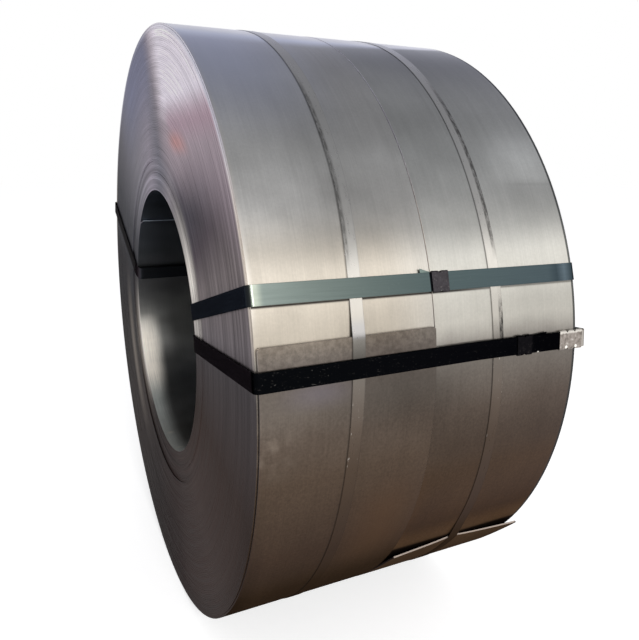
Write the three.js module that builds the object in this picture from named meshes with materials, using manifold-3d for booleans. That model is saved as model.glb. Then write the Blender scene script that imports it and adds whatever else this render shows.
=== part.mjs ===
// A pair of slit steel coils strapped together for transport, lying with the eye horizontal.
// Millimetres, +Z up. The coil axis runs along X, from the near end face to the far one, and the front is -Y.
// Angles round the coil are in degrees from the front (-Y), turning up over the top (+Z) towards the back.
import * as THREE from "three";
import { mergeVertices } from "three/addons/utils/BufferGeometryUtils.js";
import Module from "manifold-3d";

const wasm = await Module();
wasm.setup();

// ---- Driving dimensions ----

// Sheet and winding
const boreRadius = 254;
const gauge = 3;
const turnCount = 98;
const slitWidth = 266;
const seamGap = 0.6;

// Clearance between pieces that touch, and the angular size of one facet
const clearance = 0.3;
const facetsPerTurn = 96;

// Turns that wound in a little to one side: [first turn, last turn, how far the group is set back]
const setBackTurns = [
  [0, 12, 1],
  [12, 19.5, 2],
  [38, 52, 0.8],
  [76, 88, 0.6],
];
const lastTurnSetBack = 2.6;

// Sheet ends. The tail is the outer end, the head is the inner one that shows in the bore.
const nearTailAngle = 8.5;
const farTailAngle = -37;
const nearHeadAngle = 133;
const farHeadAngle = 60;
const tailSprungArc = 12;
const nearTailLift = 1.2;
const farTailLift = 1.4;
const farTailBow = 8;
const headCurl = 1;
const headSprungArc = 8;

// Narrow bands round the belly of each coil
const bellyBandWidth = 19;
const bellyBandThickness = 0.8;
const nearBellyPlace = 143.5;
const farBellyPlace = 107.5;
const bellySealAngle = 118;
const bellySealLength = 38;
const bellyLapOverrun = 10;

// Wide bands through the eye
const eyeBandWidth = 27;
const eyeBandThickness = 1;
const eyeBandBend = 8;
const upperBandAngle = 15;
const lowerBandAngle = 4;
const backBandAngle = 158.5;
const backBandBoreAngle = 165;

// How far each band is turned round the axis from its angle. It turns evenly from one place along the axis
// to another: [place, degrees, place, degrees].
const upperBandDrift = [20, 0.25, 510, -0.3];
const lowerBandDrift = [340, 0, 545, -0.45];
const backBandDrift = [20, 0, 510, 0];

// Crimped seals: where each stands on its band, and how long it is. The upper and inner ones are placed
// past the seam between the coils, the back one is placed from the near end face.
const upperSealPastSeam = 13.4;
const upperSealLength = 27.5;
const innerSealPastSeam = 158.4;
const innerSealLength = 28;
const endSealLength = 46;
const endSealOverhang = 9;
const backSealPlace = 180;
const backSealLength = 45;

// Section of a seal, and the notches that its crimp leaves
const sealThickness = 0.9;
const sealSideRoom = 0.8;
const sealMouth = 8;
const sealCorner = 1.5;
const sealNotchWidth = 7;
const sealNotchDepth = 3.5;

// The strap end that lies under a seal: how far it runs on past it, how far it veers off to one side,
// and how deep the crimp presses it into the band over it
const upperLapRun = 18;
const upperLapVeer = 6;
const innerLapRun = 30;
const innerLapVeer = 3;
const backLapRun = 22;
const lapBite = 0.1;

// How far a cutting tool runs past what it cuts, and how far it keeps off a face that it leaves
const cutterReach = 5;
const cutterSkin = 0.05;

// Two points nearer than this are one, and a path keeps no piece shorter than the second
const samePoint = 1e-4;
const shortestPiece = 0.05;

// ---- Sizes that follow ----

const outerRadius = boreRadius + gauge * turnCount;
const farCoilStart = slitWidth + seamGap;
const assemblyWidth = farCoilStart + slitWidth;
const facetAngle = 360 / facetsPerTurn;

// ---- Small geometry helpers ----

const radians = THREE.MathUtils.degToRad;

/** A point of the cross-section (y, z) at a radius and an angle. */
function polar(radius, angle) {
  return new THREE.Vector2(-radius * Math.cos(radians(angle)), radius * Math.sin(radians(angle)));
}

/** The facet corner nearest to an angle. A facet lies flat at the very bottom. */
function nearestCorner(angle) {
  return (Math.round(angle / facetAngle - 0.5) + 0.5) * facetAngle;
}

/** Angles from one to another: both ends, and every facet corner between that isn't crowded by an end. */
function facetCorners(from, to) {
  const step = Math.sign(to - from) * facetAngle;
  const crowded = facetAngle * 0.2;
  const angles = [from];
  for (let corner = nearestCorner(from) - step; (to - corner) * step > 0; corner += step) {
    if (Math.abs(corner - to) > crowded && (corner - from) * step > crowded * facetAngle) {
      angles.push(corner);
    }
  }
  angles.push(to);
  return angles;
}

/** A closed solid through like outlines, one for each station: sides between them and a cap at each end. */
function loft(drawnOutlines, placePoint) {
  const backwards = THREE.ShapeUtils.isClockWise(drawnOutlines[0]);
  const outlines = drawnOutlines.map((outline) => (backwards ? outline.slice().reverse() : outline));
  const count = outlines[0].length;
  const positions = [];
  const index = [];
  outlines.forEach((outline, station) => {
    outline.forEach((point) => positions.push(...placePoint(point, station).toArray()));
  });
  for (let station = 0; station + 1 < outlines.length; station += 1) {
    for (let i = 0; i < count; i += 1) {
      const a = station * count + i;
      const b = station * count + ((i + 1) % count);
      index.push(a, b, b + count, a, b + count, a + count);
    }
  }
  const lastStation = (outlines.length - 1) * count;
  THREE.ShapeUtils.triangulateShape(outlines[0], []).forEach(([a, b, c]) => {
    index.push(a, c, b);
    index.push(lastStation + a, lastStation + b, lastStation + c);
  });
  const geometry = new THREE.BufferGeometry();
  geometry.setAttribute("position", new THREE.Float32BufferAttribute(positions, 3));
  geometry.setIndex(index);
  return geometry;
}

/** An outline of the cross-section made into a solid from one place along the axis to another. */
function prism(outline, fromX, toX) {
  const places = [fromX, toX];
  return loft([outline, outline], (point, station) => new THREE.Vector3(places[station], point.x, point.y));
}

function toSolid(geometry) {
  const bare = geometry.clone();
  bare.deleteAttribute("normal");
  bare.deleteAttribute("uv");
  const merged = mergeVertices(bare, samePoint);
  return new wasm.Manifold(
    new wasm.Mesh({
      numProp: 3,
      vertProperties: new Float32Array(merged.attributes.position.array),
      triVerts: new Uint32Array(merged.index.array),
    }),
  );
}

function toGeometry(solid) {
  const mesh = solid.getMesh();
  const geometry = new THREE.BufferGeometry();
  geometry.setAttribute("position", new THREE.BufferAttribute(mesh.vertProperties, 3));
  geometry.setIndex(new THREE.BufferAttribute(mesh.triVerts, 1));
  geometry.computeVertexNormals();
  return geometry;
}

/** The convex path that a taut band takes round its supports, anticlockwise (Andrew's monotone chain). */
function tautPath(supports) {
  const sorted = supports.slice().sort((p, q) => p.x - q.x || p.y - q.y);
  const halfHull = (points) => {
    const chain = [];
    for (const point of points) {
      while (chain.length > 1 && turnOf(chain[chain.length - 2], chain[chain.length - 1], point) <= 0) {
        chain.pop();
      }
      chain.push(point);
    }
    chain.pop();
    return chain;
  };
  const path = [...halfHull(sorted), ...halfHull(sorted.reverse())];
  return path.filter((point, i) => point.distanceTo(path[(i + 1) % path.length]) > shortestPiece);
}

function turnOf(a, b, c) {
  return (b.x - a.x) * (c.y - a.y) - (b.y - a.y) * (c.x - a.x);
}

// ---- The coils ----

/** Height of a sheet end off the turn under it: none at the root, all of it at the tip. */
function sprungHeight(distanceFromTip, arc, lift) {
  const along = Math.max(0, 1 - distanceFromTip / arc);
  return lift * along * along;
}

/**
 * Outline of one face of the wound sheet, from the tip of its end once round and on under that end.
 * The radius changes by one gauge a turn, as a spiral does. The end stands off by its sprung height, and
 * the outline comes back along its hidden face.
 * Side is 1 for the tail on the outside, -1 for the head in the bore.
 */
function sheetOutline(side, tipRadius, tipAngle, arc, lift) {
  const wound = (behind) => tipRadius - (side * gauge * behind) / 360;
  const sprung = (behind) => wound(behind) + side * sprungHeight(behind, arc, lift);
  const behindAt = (angle) => side * (tipAngle - angle);
  const firstTurn = facetCorners(tipAngle, tipAngle - side * 360);
  const underEnd = facetCorners(tipAngle - side * 360, tipAngle - side * (360 + arc)).slice(1);
  const backToTip = facetCorners(tipAngle, tipAngle - side * arc).slice(0, -1).reverse();
  return [
    ...firstTurn.slice(0, -1).map((angle) => polar(sprung(behindAt(angle)), angle)),
    ...[tipAngle - side * 360, ...underEnd].map((angle) => polar(wound(behindAt(angle)), angle)),
    ...backToTip.map((angle) => polar(sprung(behindAt(angle)) - side * gauge, angle)),
  ];
}

/** The outside of a coil, with the free end of its outer turn lifted off by a height at the tip. */
function outerOutline(coil, lift) {
  return sheetOutline(1, outerRadius, coil.tailAngle, tailSprungArc, lift);
}

/** The bore of a coil, where the head of the sheet stands one gauge proud and curls in a little. */
function boreOutline(coil) {
  return sheetOutline(-1, boreRadius, coil.headAngle, headSprungArc, headCurl);
}

/** How far the tip of the tail stands off at a place along the axis. */
function tailLiftAt(coil, x) {
  const room = Math.max(coil.bellyPlace, slitWidth - coil.bellyPlace) - bellyBandWidth / 2;
  const away = Math.max(0, Math.abs(x - coil.startX - coil.bellyPlace) - bellyBandWidth / 2) / room;
  return coil.tailLift + coil.tailBow * Math.sqrt(away);
}

/** An arc of the space over turns that are set back. Its edges follow the spiral of the sheet. */
function setBackArc(coil, fromAngle, toAngle, radiusInside, radiusOutside, depth) {
  const angles = facetCorners(fromAngle, toAngle);
  const outside = angles.map((angle) => polar(radiusOutside(angle), angle));
  const inside = angles.map((angle) => polar(radiusInside(angle), angle)).reverse();
  const outward = coil.openEnd === "near" ? coil.startX - cutterReach : coil.startX + slitWidth + cutterReach;
  const inward = coil.openEnd === "near" ? coil.startX + depth : coil.startX + slitWidth - depth;
  return toSolid(prism([...outside, ...inside], Math.min(outward, inward), Math.max(outward, inward)));
}

/** Sets turns back all round, in two arcs that overlap by a facet and run a little past where they start. */
function setBack(solid, coil, fromAngle, radiusInside, radiusOutside, depth) {
  const overrun = 0.05;
  const middle = nearestCorner(fromAngle + 180);
  const first = [fromAngle - overrun, middle + facetAngle];
  const second = [middle, fromAngle + 360 + overrun];
  return [first, second].reduce(
    (left, [from, to]) => left.subtract(setBackArc(coil, from, to, radiusInside, radiusOutside, depth)),
    solid,
  );
}

/**
 * Sets a group of turns back, counted from the bore. A group that starts at turn 0 is open to the bore, and
 * any other reaches a skin into the group inside it, so that no film is left between the two.
 */
function setBackGroup(solid, coil, firstTurn, lastTurn, depth) {
  const spiral = (turn) => (angle) => boreRadius + gauge * (turn + (angle - coil.headAngle) / 360);
  const intoTheGroupInside = (angle) => spiral(firstTurn)(angle) - cutterSkin;
  const intoTheBore = () => boreRadius - cutterReach;
  const inside = firstTurn > 0 ? intoTheGroupInside : intoTheBore;
  return setBack(solid, coil, coil.headAngle, inside, spiral(lastTurn), depth);
}

/** Sets back the last turn alone, up to the tip of its tail. */
function setBackLastTurn(solid, coil) {
  const inside = (angle) => outerRadius - gauge * (1 + (coil.tailAngle - angle) / 360) + cutterSkin;
  const outside = () => outerRadius + coil.tailLift + coil.tailBow + cutterReach;
  return setBack(solid, coil, coil.tailAngle - 360, inside, outside, lastTurnSetBack);
}

/** One slit coil: wound round its bore, a sprung end inside and out, and turns that stand out of line. */
function slitCoil(coil) {
  const stations = coil.tailStations;
  const sections = stations.map((x) => outerOutline(coil, tailLiftAt(coil, x)));
  const wound = loft(sections, (point, station) => new THREE.Vector3(stations[station], point.x, point.y));
  const endX = coil.startX + slitWidth;
  const bore = prism(boreOutline(coil), coil.startX - cutterReach, endX + cutterReach);
  let solid = toSolid(wound).subtract(toSolid(bore));
  for (const [firstTurn, lastTurn, depth] of setBackTurns) {
    solid = setBackGroup(solid, coil, firstTurn, lastTurn, depth);
  }
  if (coil.lastTurnIsSetBack) {
    solid = setBackLastTurn(solid, coil);
  }
  return toGeometry(solid);
}

// ---- Seals ----

/**
 * Section of a seal in a joint's own frame: X runs along the band, Y across it and Z off the coil, and the
 * band's inner face is at Z = 0.
 */
function sealSection(band) {
  const halfInside = band.width / 2 + sealSideRoom;
  const low = -band.thickness - clearance;
  const high = band.thickness + clearance;
  const halfOutside = halfInside + sealThickness;
  const bottom = low - sealThickness;
  const top = high + sealThickness;
  const outside = [
    [-sealMouth / 2, bottom],
    [-halfOutside + sealCorner, bottom],
    [-halfOutside, bottom + sealCorner],
    [-halfOutside, top - sealCorner],
    [-halfOutside + sealCorner, top],
    [halfOutside - sealCorner, top],
    [halfOutside, top - sealCorner],
    [halfOutside, bottom + sealCorner],
    [halfOutside - sealCorner, bottom],
    [sealMouth / 2, bottom],
  ];
  const inside = [
    [sealMouth / 2, low],
    [halfInside, low],
    [halfInside, high],
    [-halfInside, high],
    [-halfInside, low],
    [-sealMouth / 2, low],
  ];
  return [...outside, ...inside].map(([across, up]) => new THREE.Vector2(across, up));
}

/** A folded sleeve round both layers of a band, with crimp notches cut into its two edges. */
function seal(band, joint) {
  const half = joint.length / 2;
  const slope = sealNotchWidth / 2 / sealNotchDepth;
  const edge = band.width / 2 + sealSideRoom + sealThickness;
  const tall = band.thickness + clearance + sealThickness + cutterReach;
  let sleeve = toSolid(prism(sealSection(band), -half, half));
  for (let notch = 1; notch <= joint.notches; notch += 1) {
    const along = -half + (joint.length * notch) / (joint.notches + 1);
    for (const side of [-1, 1]) {
      const outline = [
        new THREE.Vector2(along - sealNotchWidth / 2 - slope * cutterReach, side * (edge + cutterReach)),
        new THREE.Vector2(along + sealNotchWidth / 2 + slope * cutterReach, side * (edge + cutterReach)),
        new THREE.Vector2(along, side * (edge - sealNotchDepth)),
      ];
      const lowAndHigh = [-tall, tall];
      const place = (point, station) => new THREE.Vector3(point.x, point.y, lowAndHigh[station]);
      sleeve = sleeve.subtract(toSolid(loft([outline, outline], place)));
    }
  }
  return toGeometry(sleeve);
}

/** The end of the strap under a seal. Past the seal it can veer to one side. */
function lapLayer(band, joint) {
  const half = band.width / 2;
  const outline = [
    new THREE.Vector2(joint.lapEnd, -half + joint.endVeer),
    new THREE.Vector2(joint.lapEnd, half + joint.endVeer),
    new THREE.Vector2(joint.length / 2, half),
    new THREE.Vector2(-joint.length / 2, half),
    new THREE.Vector2(joint.lapStart, half + joint.startVeer),
    new THREE.Vector2(joint.lapStart, -half + joint.startVeer),
    new THREE.Vector2(-joint.length / 2, -half),
    new THREE.Vector2(joint.length / 2, -half),
  ];
  const lowAndHigh = [-band.thickness, lapBite];
  const place = (point, station) => new THREE.Vector3(point.x, point.y, lowAndHigh[station]);
  return loft([outline, outline], place);
}

// ---- The bands ----

/** Adds a thickness outwards to a closed anticlockwise path, with mitred corners. */
function thicken(path, thickness) {
  return path.map((point, i) => {
    const before = path[(i + path.length - 1) % path.length];
    const after = path[(i + 1) % path.length];
    const normalIn = new THREE.Vector2(point.y - before.y, before.x - point.x).normalize();
    const normalOut = new THREE.Vector2(after.y - point.y, point.x - after.x).normalize();
    const mitre = normalIn.clone().add(normalOut).normalize();
    return point.clone().addScaledVector(mitre, thickness / mitre.dot(normalIn));
  });
}

/** Radius of the outside of a coil at an angle, between the tip of the tail and one turn back from it. */
function surfaceRadius(coil, angle) {
  const behindTip = THREE.MathUtils.euclideanModulo(coil.tailAngle - angle, 360);
  return outerRadius - (behindTip / 360) * gauge;
}

/** Radius of the bore of a coil at an angle. */
function boreSurface(coil, angle) {
  const behindHead = THREE.MathUtils.euclideanModulo(angle - coil.headAngle, 360);
  return boreRadius + (behindHead / 360) * gauge;
}

/** Height off the coil at which a band's inner face leaves room for its lap and the fold of its seal. */
function heightAtSeal(band) {
  return clearance + sealThickness + clearance + band.thickness;
}

/** What a belly band lies on: the coil with its tail, and the lap and seal, which keep it straight. */
function bellySupports(coil) {
  const round = outerOutline(coil, coil.tailLift).map((point) => point.setLength(point.length() + clearance));
  const halfLap = bellySealLength / 2 + bellyLapOverrun + clearance;
  const chord = surfaceRadius(coil, bellySealAngle) + heightAtSeal(bellyBand);
  const atSeal = [-1, 1].map((side) => {
    const angle = bellySealAngle + side * THREE.MathUtils.radToDeg(Math.atan(halfLap / chord));
    return polar(Math.hypot(chord, halfLap), angle);
  });
  return [...round, ...atSeal];
}

const bellyBand = { width: bellyBandWidth, thickness: bellyBandThickness };
const bellyJoint = {
  length: bellySealLength,
  notches: 1,
  lapStart: -bellySealLength / 2 - bellyLapOverrun,
  lapEnd: bellySealLength / 2 + bellyLapOverrun,
  startVeer: 0,
  endVeer: 0,
};

/** Turns a joint's own frame to where it stands on a belly band. */
function bellyJointFrame(coil) {
  const up = polar(1, bellySealAngle);
  const origin = up.clone().multiplyScalar(surfaceRadius(coil, bellySealAngle) + heightAtSeal(bellyBand));
  const off = new THREE.Vector3(0, up.x, up.y);
  const across = new THREE.Vector3(1, 0, 0);
  const along = new THREE.Vector3().crossVectors(across, off);
  return new THREE.Matrix4()
    .makeBasis(along, across, off)
    .setPosition(coil.startX + coil.bellyPlace, origin.x, origin.y);
}

/** A belly band: a flat hoop pulled tight round the coil, over the tail, doubled where its ends lap. */
function bellyHoop(coil) {
  const inside = tautPath(bellySupports(coil));
  const outside = thicken(inside, bellyBandThickness);
  const middle = coil.startX + coil.bellyPlace;
  const fromX = middle - bellyBandWidth / 2;
  const toX = middle + bellyBandWidth / 2;
  const hoop = toSolid(prism(outside, fromX, toX)).subtract(
    toSolid(prism(inside, fromX - cutterReach, toX + cutterReach)),
  );
  const lap = lapLayer(bellyBand, bellyJoint).applyMatrix4(bellyJointFrame(coil));
  return toGeometry(hoop.add(toSolid(lap)));
}

const eyeBand = { width: eyeBandWidth, thickness: eyeBandThickness };

/** The plane of a band through the eye: from the bore out to the outside, at the near coil. */
function eyePlane(band) {
  const boreEdge = polar(boreSurface(nearCoil, band.boreAngle), band.boreAngle);
  const outerEdge = polar(surfaceRadius(nearCoil, band.outerAngle), band.outerAngle);
  const outward = outerEdge.clone().sub(boreEdge);
  return { boreEdge, span: outward.length(), outward: outward.normalize() };
}

/** Points round a quarter bend that clears a corner. Signs say which way the corner looks. */
function bendRound(corner, signX, signOut) {
  const inset = (eyeBandBend - clearance) / Math.SQRT2;
  const centre = new THREE.Vector2(corner.x - signX * inset, corner.y - signOut * inset);
  const steps = 6;
  const halfStep = Math.PI / 4 / steps;
  return Array.from({ length: steps }, (_, i) => {
    const turned = (2 * i + 1) * halfStep;
    const offset = new THREE.Vector2(signX * Math.cos(turned), signOut * Math.sin(turned));
    return centre.clone().addScaledVector(offset, eyeBandBend / Math.cos(halfStep));
  });
}

/** What a band through the eye lies on, as points (along the axis, out from the near coil's bore). */
function eyeSupports(band, plane) {
  const flatInBore = (radius) =>
    Math.sqrt((radius * Math.cos(radians(facetAngle / 2))) ** 2 - (eyeBandWidth / 2) ** 2);
  const nearBore = boreSurface(nearCoil, band.boreAngle);
  const boreAt = (coil) => flatInBore(boreSurface(coil, band.boreAngle)) - nearBore;
  const outsideAt = (coil) =>
    plane.span + surfaceRadius(coil, band.outerAngle) - surfaceRadius(nearCoil, band.outerAngle);
  const [, firstGroupEnd, firstSetBack] = setBackTurns[0];
  const [, secondGroupEnd] = setBackTurns[1];
  const supports = [
    ...bendRound(new THREE.Vector2(0, outsideAt(nearCoil)), -1, 1),
    ...bendRound(new THREE.Vector2(assemblyWidth + band.overhang, outsideAt(farCoil)), 1, 1),
    ...bendRound(new THREE.Vector2(firstSetBack, boreAt(nearCoil)), -1, -1),
    ...bendRound(new THREE.Vector2(assemblyWidth - firstSetBack, boreAt(farCoil)), 1, -1),
    new THREE.Vector2(-clearance, gauge * (secondGroupEnd + 1)),
    new THREE.Vector2(assemblyWidth + clearance, gauge * (secondGroupEnd + 1)),
  ];
  for (const turn of [firstGroupEnd, secondGroupEnd]) {
    const depth = turn === firstGroupEnd ? setBackTurns[1][2] : 0;
    supports.push(new THREE.Vector2(depth - clearance, gauge * turn));
    supports.push(new THREE.Vector2(assemblyWidth - depth + clearance, gauge * turn));
  }
  for (const coil of [nearCoil, farCoil]) {
    const overBelly = outsideAt(coil) + clearance + bellyBandThickness + clearance;
    for (const edge of [-bellyBandWidth / 2, bellyBandWidth / 2]) {
      supports.push(new THREE.Vector2(coil.startX + coil.bellyPlace + edge, overBelly));
    }
  }
  for (const joint of band.joints) {
    const coil = joint.place + joint.length / 2 > farCoilStart ? farCoil : nearCoil;
    supports.push(new THREE.Vector2(joint.place + joint.lapStart, outsideAt(coil) + heightAtSeal(eyeBand)));
    supports.push(new THREE.Vector2(joint.place + joint.lapEnd, outsideAt(coil) + heightAtSeal(eyeBand)));
  }
  return supports;
}

/** Direction across a band: flat on the bore at its inner edge, flat on the outside at its outer edge. */
function acrossAt(band, share) {
  const angle = THREE.MathUtils.lerp(band.boreAngle, band.outerAngle, THREE.MathUtils.clamp(share, 0, 1));
  return new THREE.Vector3(0, Math.sin(radians(angle)), Math.cos(radians(angle)));
}

/** A closed band: a flat section carried round a path, four corners at each point of it. */
function closedBand(sections) {
  const positions = sections.flat().flatMap((corner) => corner.toArray());
  const index = [];
  sections.forEach((_, i) => {
    const here = i * 4;
    const next = ((i + 1) % sections.length) * 4;
    for (let k = 0; k < 4; k += 1) {
      const l = (k + 1) % 4;
      index.push(here + k, here + l, next + l, here + k, next + l, next + k);
    }
  });
  const geometry = new THREE.BufferGeometry();
  geometry.setAttribute("position", new THREE.Float32BufferAttribute(positions, 3));
  geometry.setIndex(index);
  return geometry;
}

/** Height of the outer run of a path at a place along the axis. */
function outerRunHeight(path, x) {
  let height = -Infinity;
  path.forEach((start, i) => {
    const end = path[(i + 1) % path.length];
    const low = Math.min(start.x, end.x);
    const high = Math.max(start.x, end.x);
    if (high - low > samePoint && x >= low && x <= high) {
      height = Math.max(height, THREE.MathUtils.mapLinear(x, start.x, end.x, start.y, end.y));
    }
  });
  return height;
}

/** Turns a point or direction of a band round the axis, by the band's drift at a place along it. */
function drifted(band, x, vector) {
  const [from, fromDegrees, to, toDegrees] = band.drift;
  const place = THREE.MathUtils.clamp(x, from, to);
  const degrees = THREE.MathUtils.mapLinear(place, from, to, fromDegrees, toDegrees);
  return vector.applyAxisAngle(new THREE.Vector3(-1, 0, 0), radians(degrees));
}

/** A point of a band in space, from its point (along the axis, out from the near coil's bore). */
function bandPoint(band, plane, { x, y }) {
  const { boreEdge, outward } = plane;
  return drifted(band, x, new THREE.Vector3(x, boreEdge.x + outward.x * y, boreEdge.y + outward.y * y));
}

/** Adds a point to each run of a closed path that crosses a place along the axis. */
function splitAt(path, x) {
  return path.flatMap((start, i) => {
    const end = path[(i + 1) % path.length];
    const share = (x - start.x) / (end.x - start.x);
    return share > 0 && share < 1 ? [start, start.clone().lerp(end, share)] : [start];
  });
}

/** The inner side of a band, with a point where its drift starts and where it ends. */
function eyePath(band, plane) {
  const [from, , to] = band.drift;
  return splitAt(splitAt(tautPath(eyeSupports(band, plane)), from), to);
}

/** Turns a joint's own frame to where it stands on a band through the eye. */
function eyeJointFrame(band, joint) {
  const plane = eyePlane(band);
  const path = eyePath(band, plane);
  const [start, end] = [-joint.length / 2, joint.length / 2].map((reach) => {
    const x = joint.place + reach;
    return bandPoint(band, plane, new THREE.Vector2(x, outerRunHeight(path, x)));
  });
  const along = end.clone().sub(start).normalize();
  const level = drifted(band, joint.place, acrossAt(band, 1));
  const off = new THREE.Vector3().crossVectors(along, level).normalize();
  const across = new THREE.Vector3().crossVectors(off, along);
  return new THREE.Matrix4().makeBasis(along, across, off).setPosition(start.add(end).divideScalar(2));
}

/** A band through the eye: over the outside, down one end face, along the bore and back up the other. */
function eyeLoop(band) {
  const plane = eyePlane(band);
  const inside = eyePath(band, plane);
  const outside = thicken(inside, eyeBandThickness);
  const sections = inside.map((point, i) => {
    const across = drifted(band, point.x, acrossAt(band, point.y / plane.span));
    across.multiplyScalar(eyeBandWidth / 2);
    const inner = bandPoint(band, plane, point);
    const outer = bandPoint(band, plane, outside[i]);
    return [inner.clone().sub(across), outer.clone().sub(across), outer.add(across), inner.add(across)];
  });
  let solid = toSolid(closedBand(sections));
  for (const joint of band.joints) {
    solid = solid.add(toSolid(lapLayer(eyeBand, joint).applyMatrix4(eyeJointFrame(band, joint))));
  }
  return toGeometry(solid);
}

// ---- The pieces and where they stand ----

const nearCoil = {
  startX: 0,
  openEnd: "near",
  tailAngle: nearTailAngle,
  headAngle: nearHeadAngle,
  bellyPlace: nearBellyPlace,
  tailLift: nearTailLift,
  tailBow: 0,
  tailStations: [0, slitWidth],
  lastTurnIsSetBack: true,
};

const farCoil = {
  startX: farCoilStart,
  openEnd: "far",
  tailAngle: farTailAngle,
  headAngle: farHeadAngle,
  bellyPlace: farBellyPlace,
  tailLift: farTailLift,
  tailBow: farTailBow,
  tailStations: bowedStations(),
  lastTurnIsSetBack: false,
};

/** Places along the far coil where its bowed tail gets a section, on each side of the belly band. */
function bowedStations() {
  const leftEdge = farBellyPlace - bellyBandWidth / 2;
  const rightEdge = farBellyPlace + bellyBandWidth / 2;
  const steps = 4;
  const places = [];
  for (let i = 0; i <= steps; i += 1) {
    places.push(farCoilStart + leftEdge * (1 - (1 - i / steps) ** 2));
  }
  for (let i = 0; i <= steps; i += 1) {
    places.push(farCoilStart + THREE.MathUtils.lerp(rightEdge, slitWidth, (i / steps) ** 2));
  }
  return places;
}

const straightEnds = { startVeer: 0, endVeer: 0 };

const upperJoint = {
  ...straightEnds,
  place: farCoilStart + upperSealPastSeam,
  length: upperSealLength,
  notches: 1,
  lapStart: -upperSealLength / 2 - upperLapRun,
  lapEnd: upperSealLength / 2 + upperLapRun / 2,
  startVeer: upperLapVeer,
};

const innerJoint = {
  ...straightEnds,
  place: farCoilStart + innerSealPastSeam,
  length: innerSealLength,
  notches: 1,
  lapStart: -innerSealLength / 2 - innerLapRun / 2,
  lapEnd: innerSealLength / 2 + innerLapRun,
  endVeer: innerLapVeer,
};

const endJoint = {
  ...straightEnds,
  place: assemblyWidth + endSealOverhang - endSealLength / 2,
  length: endSealLength,
  notches: 2,
  lapStart: -endSealLength / 2,
  lapEnd: endSealLength / 2,
};

const backJoint = {
  ...straightEnds,
  place: backSealPlace,
  length: backSealLength,
  notches: 2,
  lapStart: -backSealLength / 2 - backLapRun,
  lapEnd: backSealLength / 2 + backLapRun,
};

const upperBand = {
  outerAngle: upperBandAngle,
  boreAngle: upperBandAngle,
  drift: upperBandDrift,
  overhang: 0,
  joints: [upperJoint],
};
const lowerBand = {
  outerAngle: lowerBandAngle,
  boreAngle: lowerBandAngle,
  drift: lowerBandDrift,
  overhang: endSealOverhang + eyeBandBend,
  joints: [innerJoint, endJoint],
};
const backBand = {
  outerAngle: backBandAngle,
  boreAngle: backBandBoreAngle,
  drift: backBandDrift,
  overhang: 0,
  joints: [backJoint],
};

// ---- Finishes ----

const coldSteel = { color: 0x9a958f, roughness: 0.34, metalness: 1 };
const bareStrap = { color: 0xb9b6ae, roughness: 0.3, metalness: 1 };
const blackStrap = { color: 0x15171a, roughness: 0.3, metalness: 0.4 };
const greenStrap = { color: 0x4c5c5b, roughness: 0.35, metalness: 0.4 };
const zincSeal = { color: 0xaaa7a0, roughness: 0.4, metalness: 1 };

const assembly = new THREE.Group();

function addPiece(name, geometry, finish) {
  const mesh = new THREE.Mesh(geometry, new THREE.MeshStandardMaterial(finish));
  mesh.name = name;
  assembly.add(mesh);
  return mesh;
}

addPiece("slit_coil_near", slitCoil(nearCoil), coldSteel);
addPiece("slit_coil_far", slitCoil(farCoil), coldSteel);
addPiece("belly_strap_near", bellyHoop(nearCoil), bareStrap);
addPiece("belly_strap_far", bellyHoop(farCoil), bareStrap);
addPiece("eye_strap_upper", eyeLoop(upperBand), greenStrap);
addPiece("eye_strap_lower", eyeLoop(lowerBand), blackStrap);
addPiece("eye_strap_back", eyeLoop(backBand), blackStrap);

function addSeal(name, band, joint, frame, finish) {
  addPiece(name, seal(band, joint).applyMatrix4(frame), finish);
}

addSeal("belly_seal_near", bellyBand, bellyJoint, bellyJointFrame(nearCoil), bareStrap);
addSeal("belly_seal_far", bellyBand, bellyJoint, bellyJointFrame(farCoil), bareStrap);
addSeal("eye_seal_upper", eyeBand, upperJoint, eyeJointFrame(upperBand, upperJoint), blackStrap);
addSeal("eye_seal_inner", eyeBand, innerJoint, eyeJointFrame(lowerBand, innerJoint), blackStrap);
addSeal("eye_seal_end", eyeBand, endJoint, eyeJointFrame(lowerBand, endJoint), zincSeal);
addSeal("eye_seal_back", eyeBand, backJoint, eyeJointFrame(backBand, backJoint), blackStrap);

// The origin is on the floor, under the middle of the whole
const box = new THREE.Box3().setFromObject(assembly);
const middle = box.getCenter(new THREE.Vector3());
assembly.position.set(-middle.x, -middle.y, -box.min.z);

export default assembly;
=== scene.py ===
"""A pair of slit steel coils, strapped together through the eye and banded round the belly.

Metres, +Z up. The coil axis runs along X, from the near end face to the far one, and the front is -Y.
Angles go round the coil in degrees from the front, up over the top and on towards the back.
"""

import math
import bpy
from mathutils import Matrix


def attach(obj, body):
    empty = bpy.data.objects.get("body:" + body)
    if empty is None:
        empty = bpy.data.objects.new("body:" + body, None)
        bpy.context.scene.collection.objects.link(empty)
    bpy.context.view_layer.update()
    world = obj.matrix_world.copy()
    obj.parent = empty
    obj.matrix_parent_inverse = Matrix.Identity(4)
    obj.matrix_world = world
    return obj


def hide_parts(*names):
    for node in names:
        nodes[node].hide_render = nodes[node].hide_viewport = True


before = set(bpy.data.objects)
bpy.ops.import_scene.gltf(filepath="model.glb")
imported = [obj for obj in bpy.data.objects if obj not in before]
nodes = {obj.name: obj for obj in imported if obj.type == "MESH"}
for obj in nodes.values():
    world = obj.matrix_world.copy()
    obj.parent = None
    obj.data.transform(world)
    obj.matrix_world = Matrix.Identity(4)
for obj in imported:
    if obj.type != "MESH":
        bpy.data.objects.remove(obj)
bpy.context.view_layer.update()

from types import SimpleNamespace

import bpy
import numpy as np
from mathutils import Vector
from mathutils.geometry import convex_hull_2d

MM = 0.001

# ---- Sizes of the wound sheet, as in the solids ----

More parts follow.
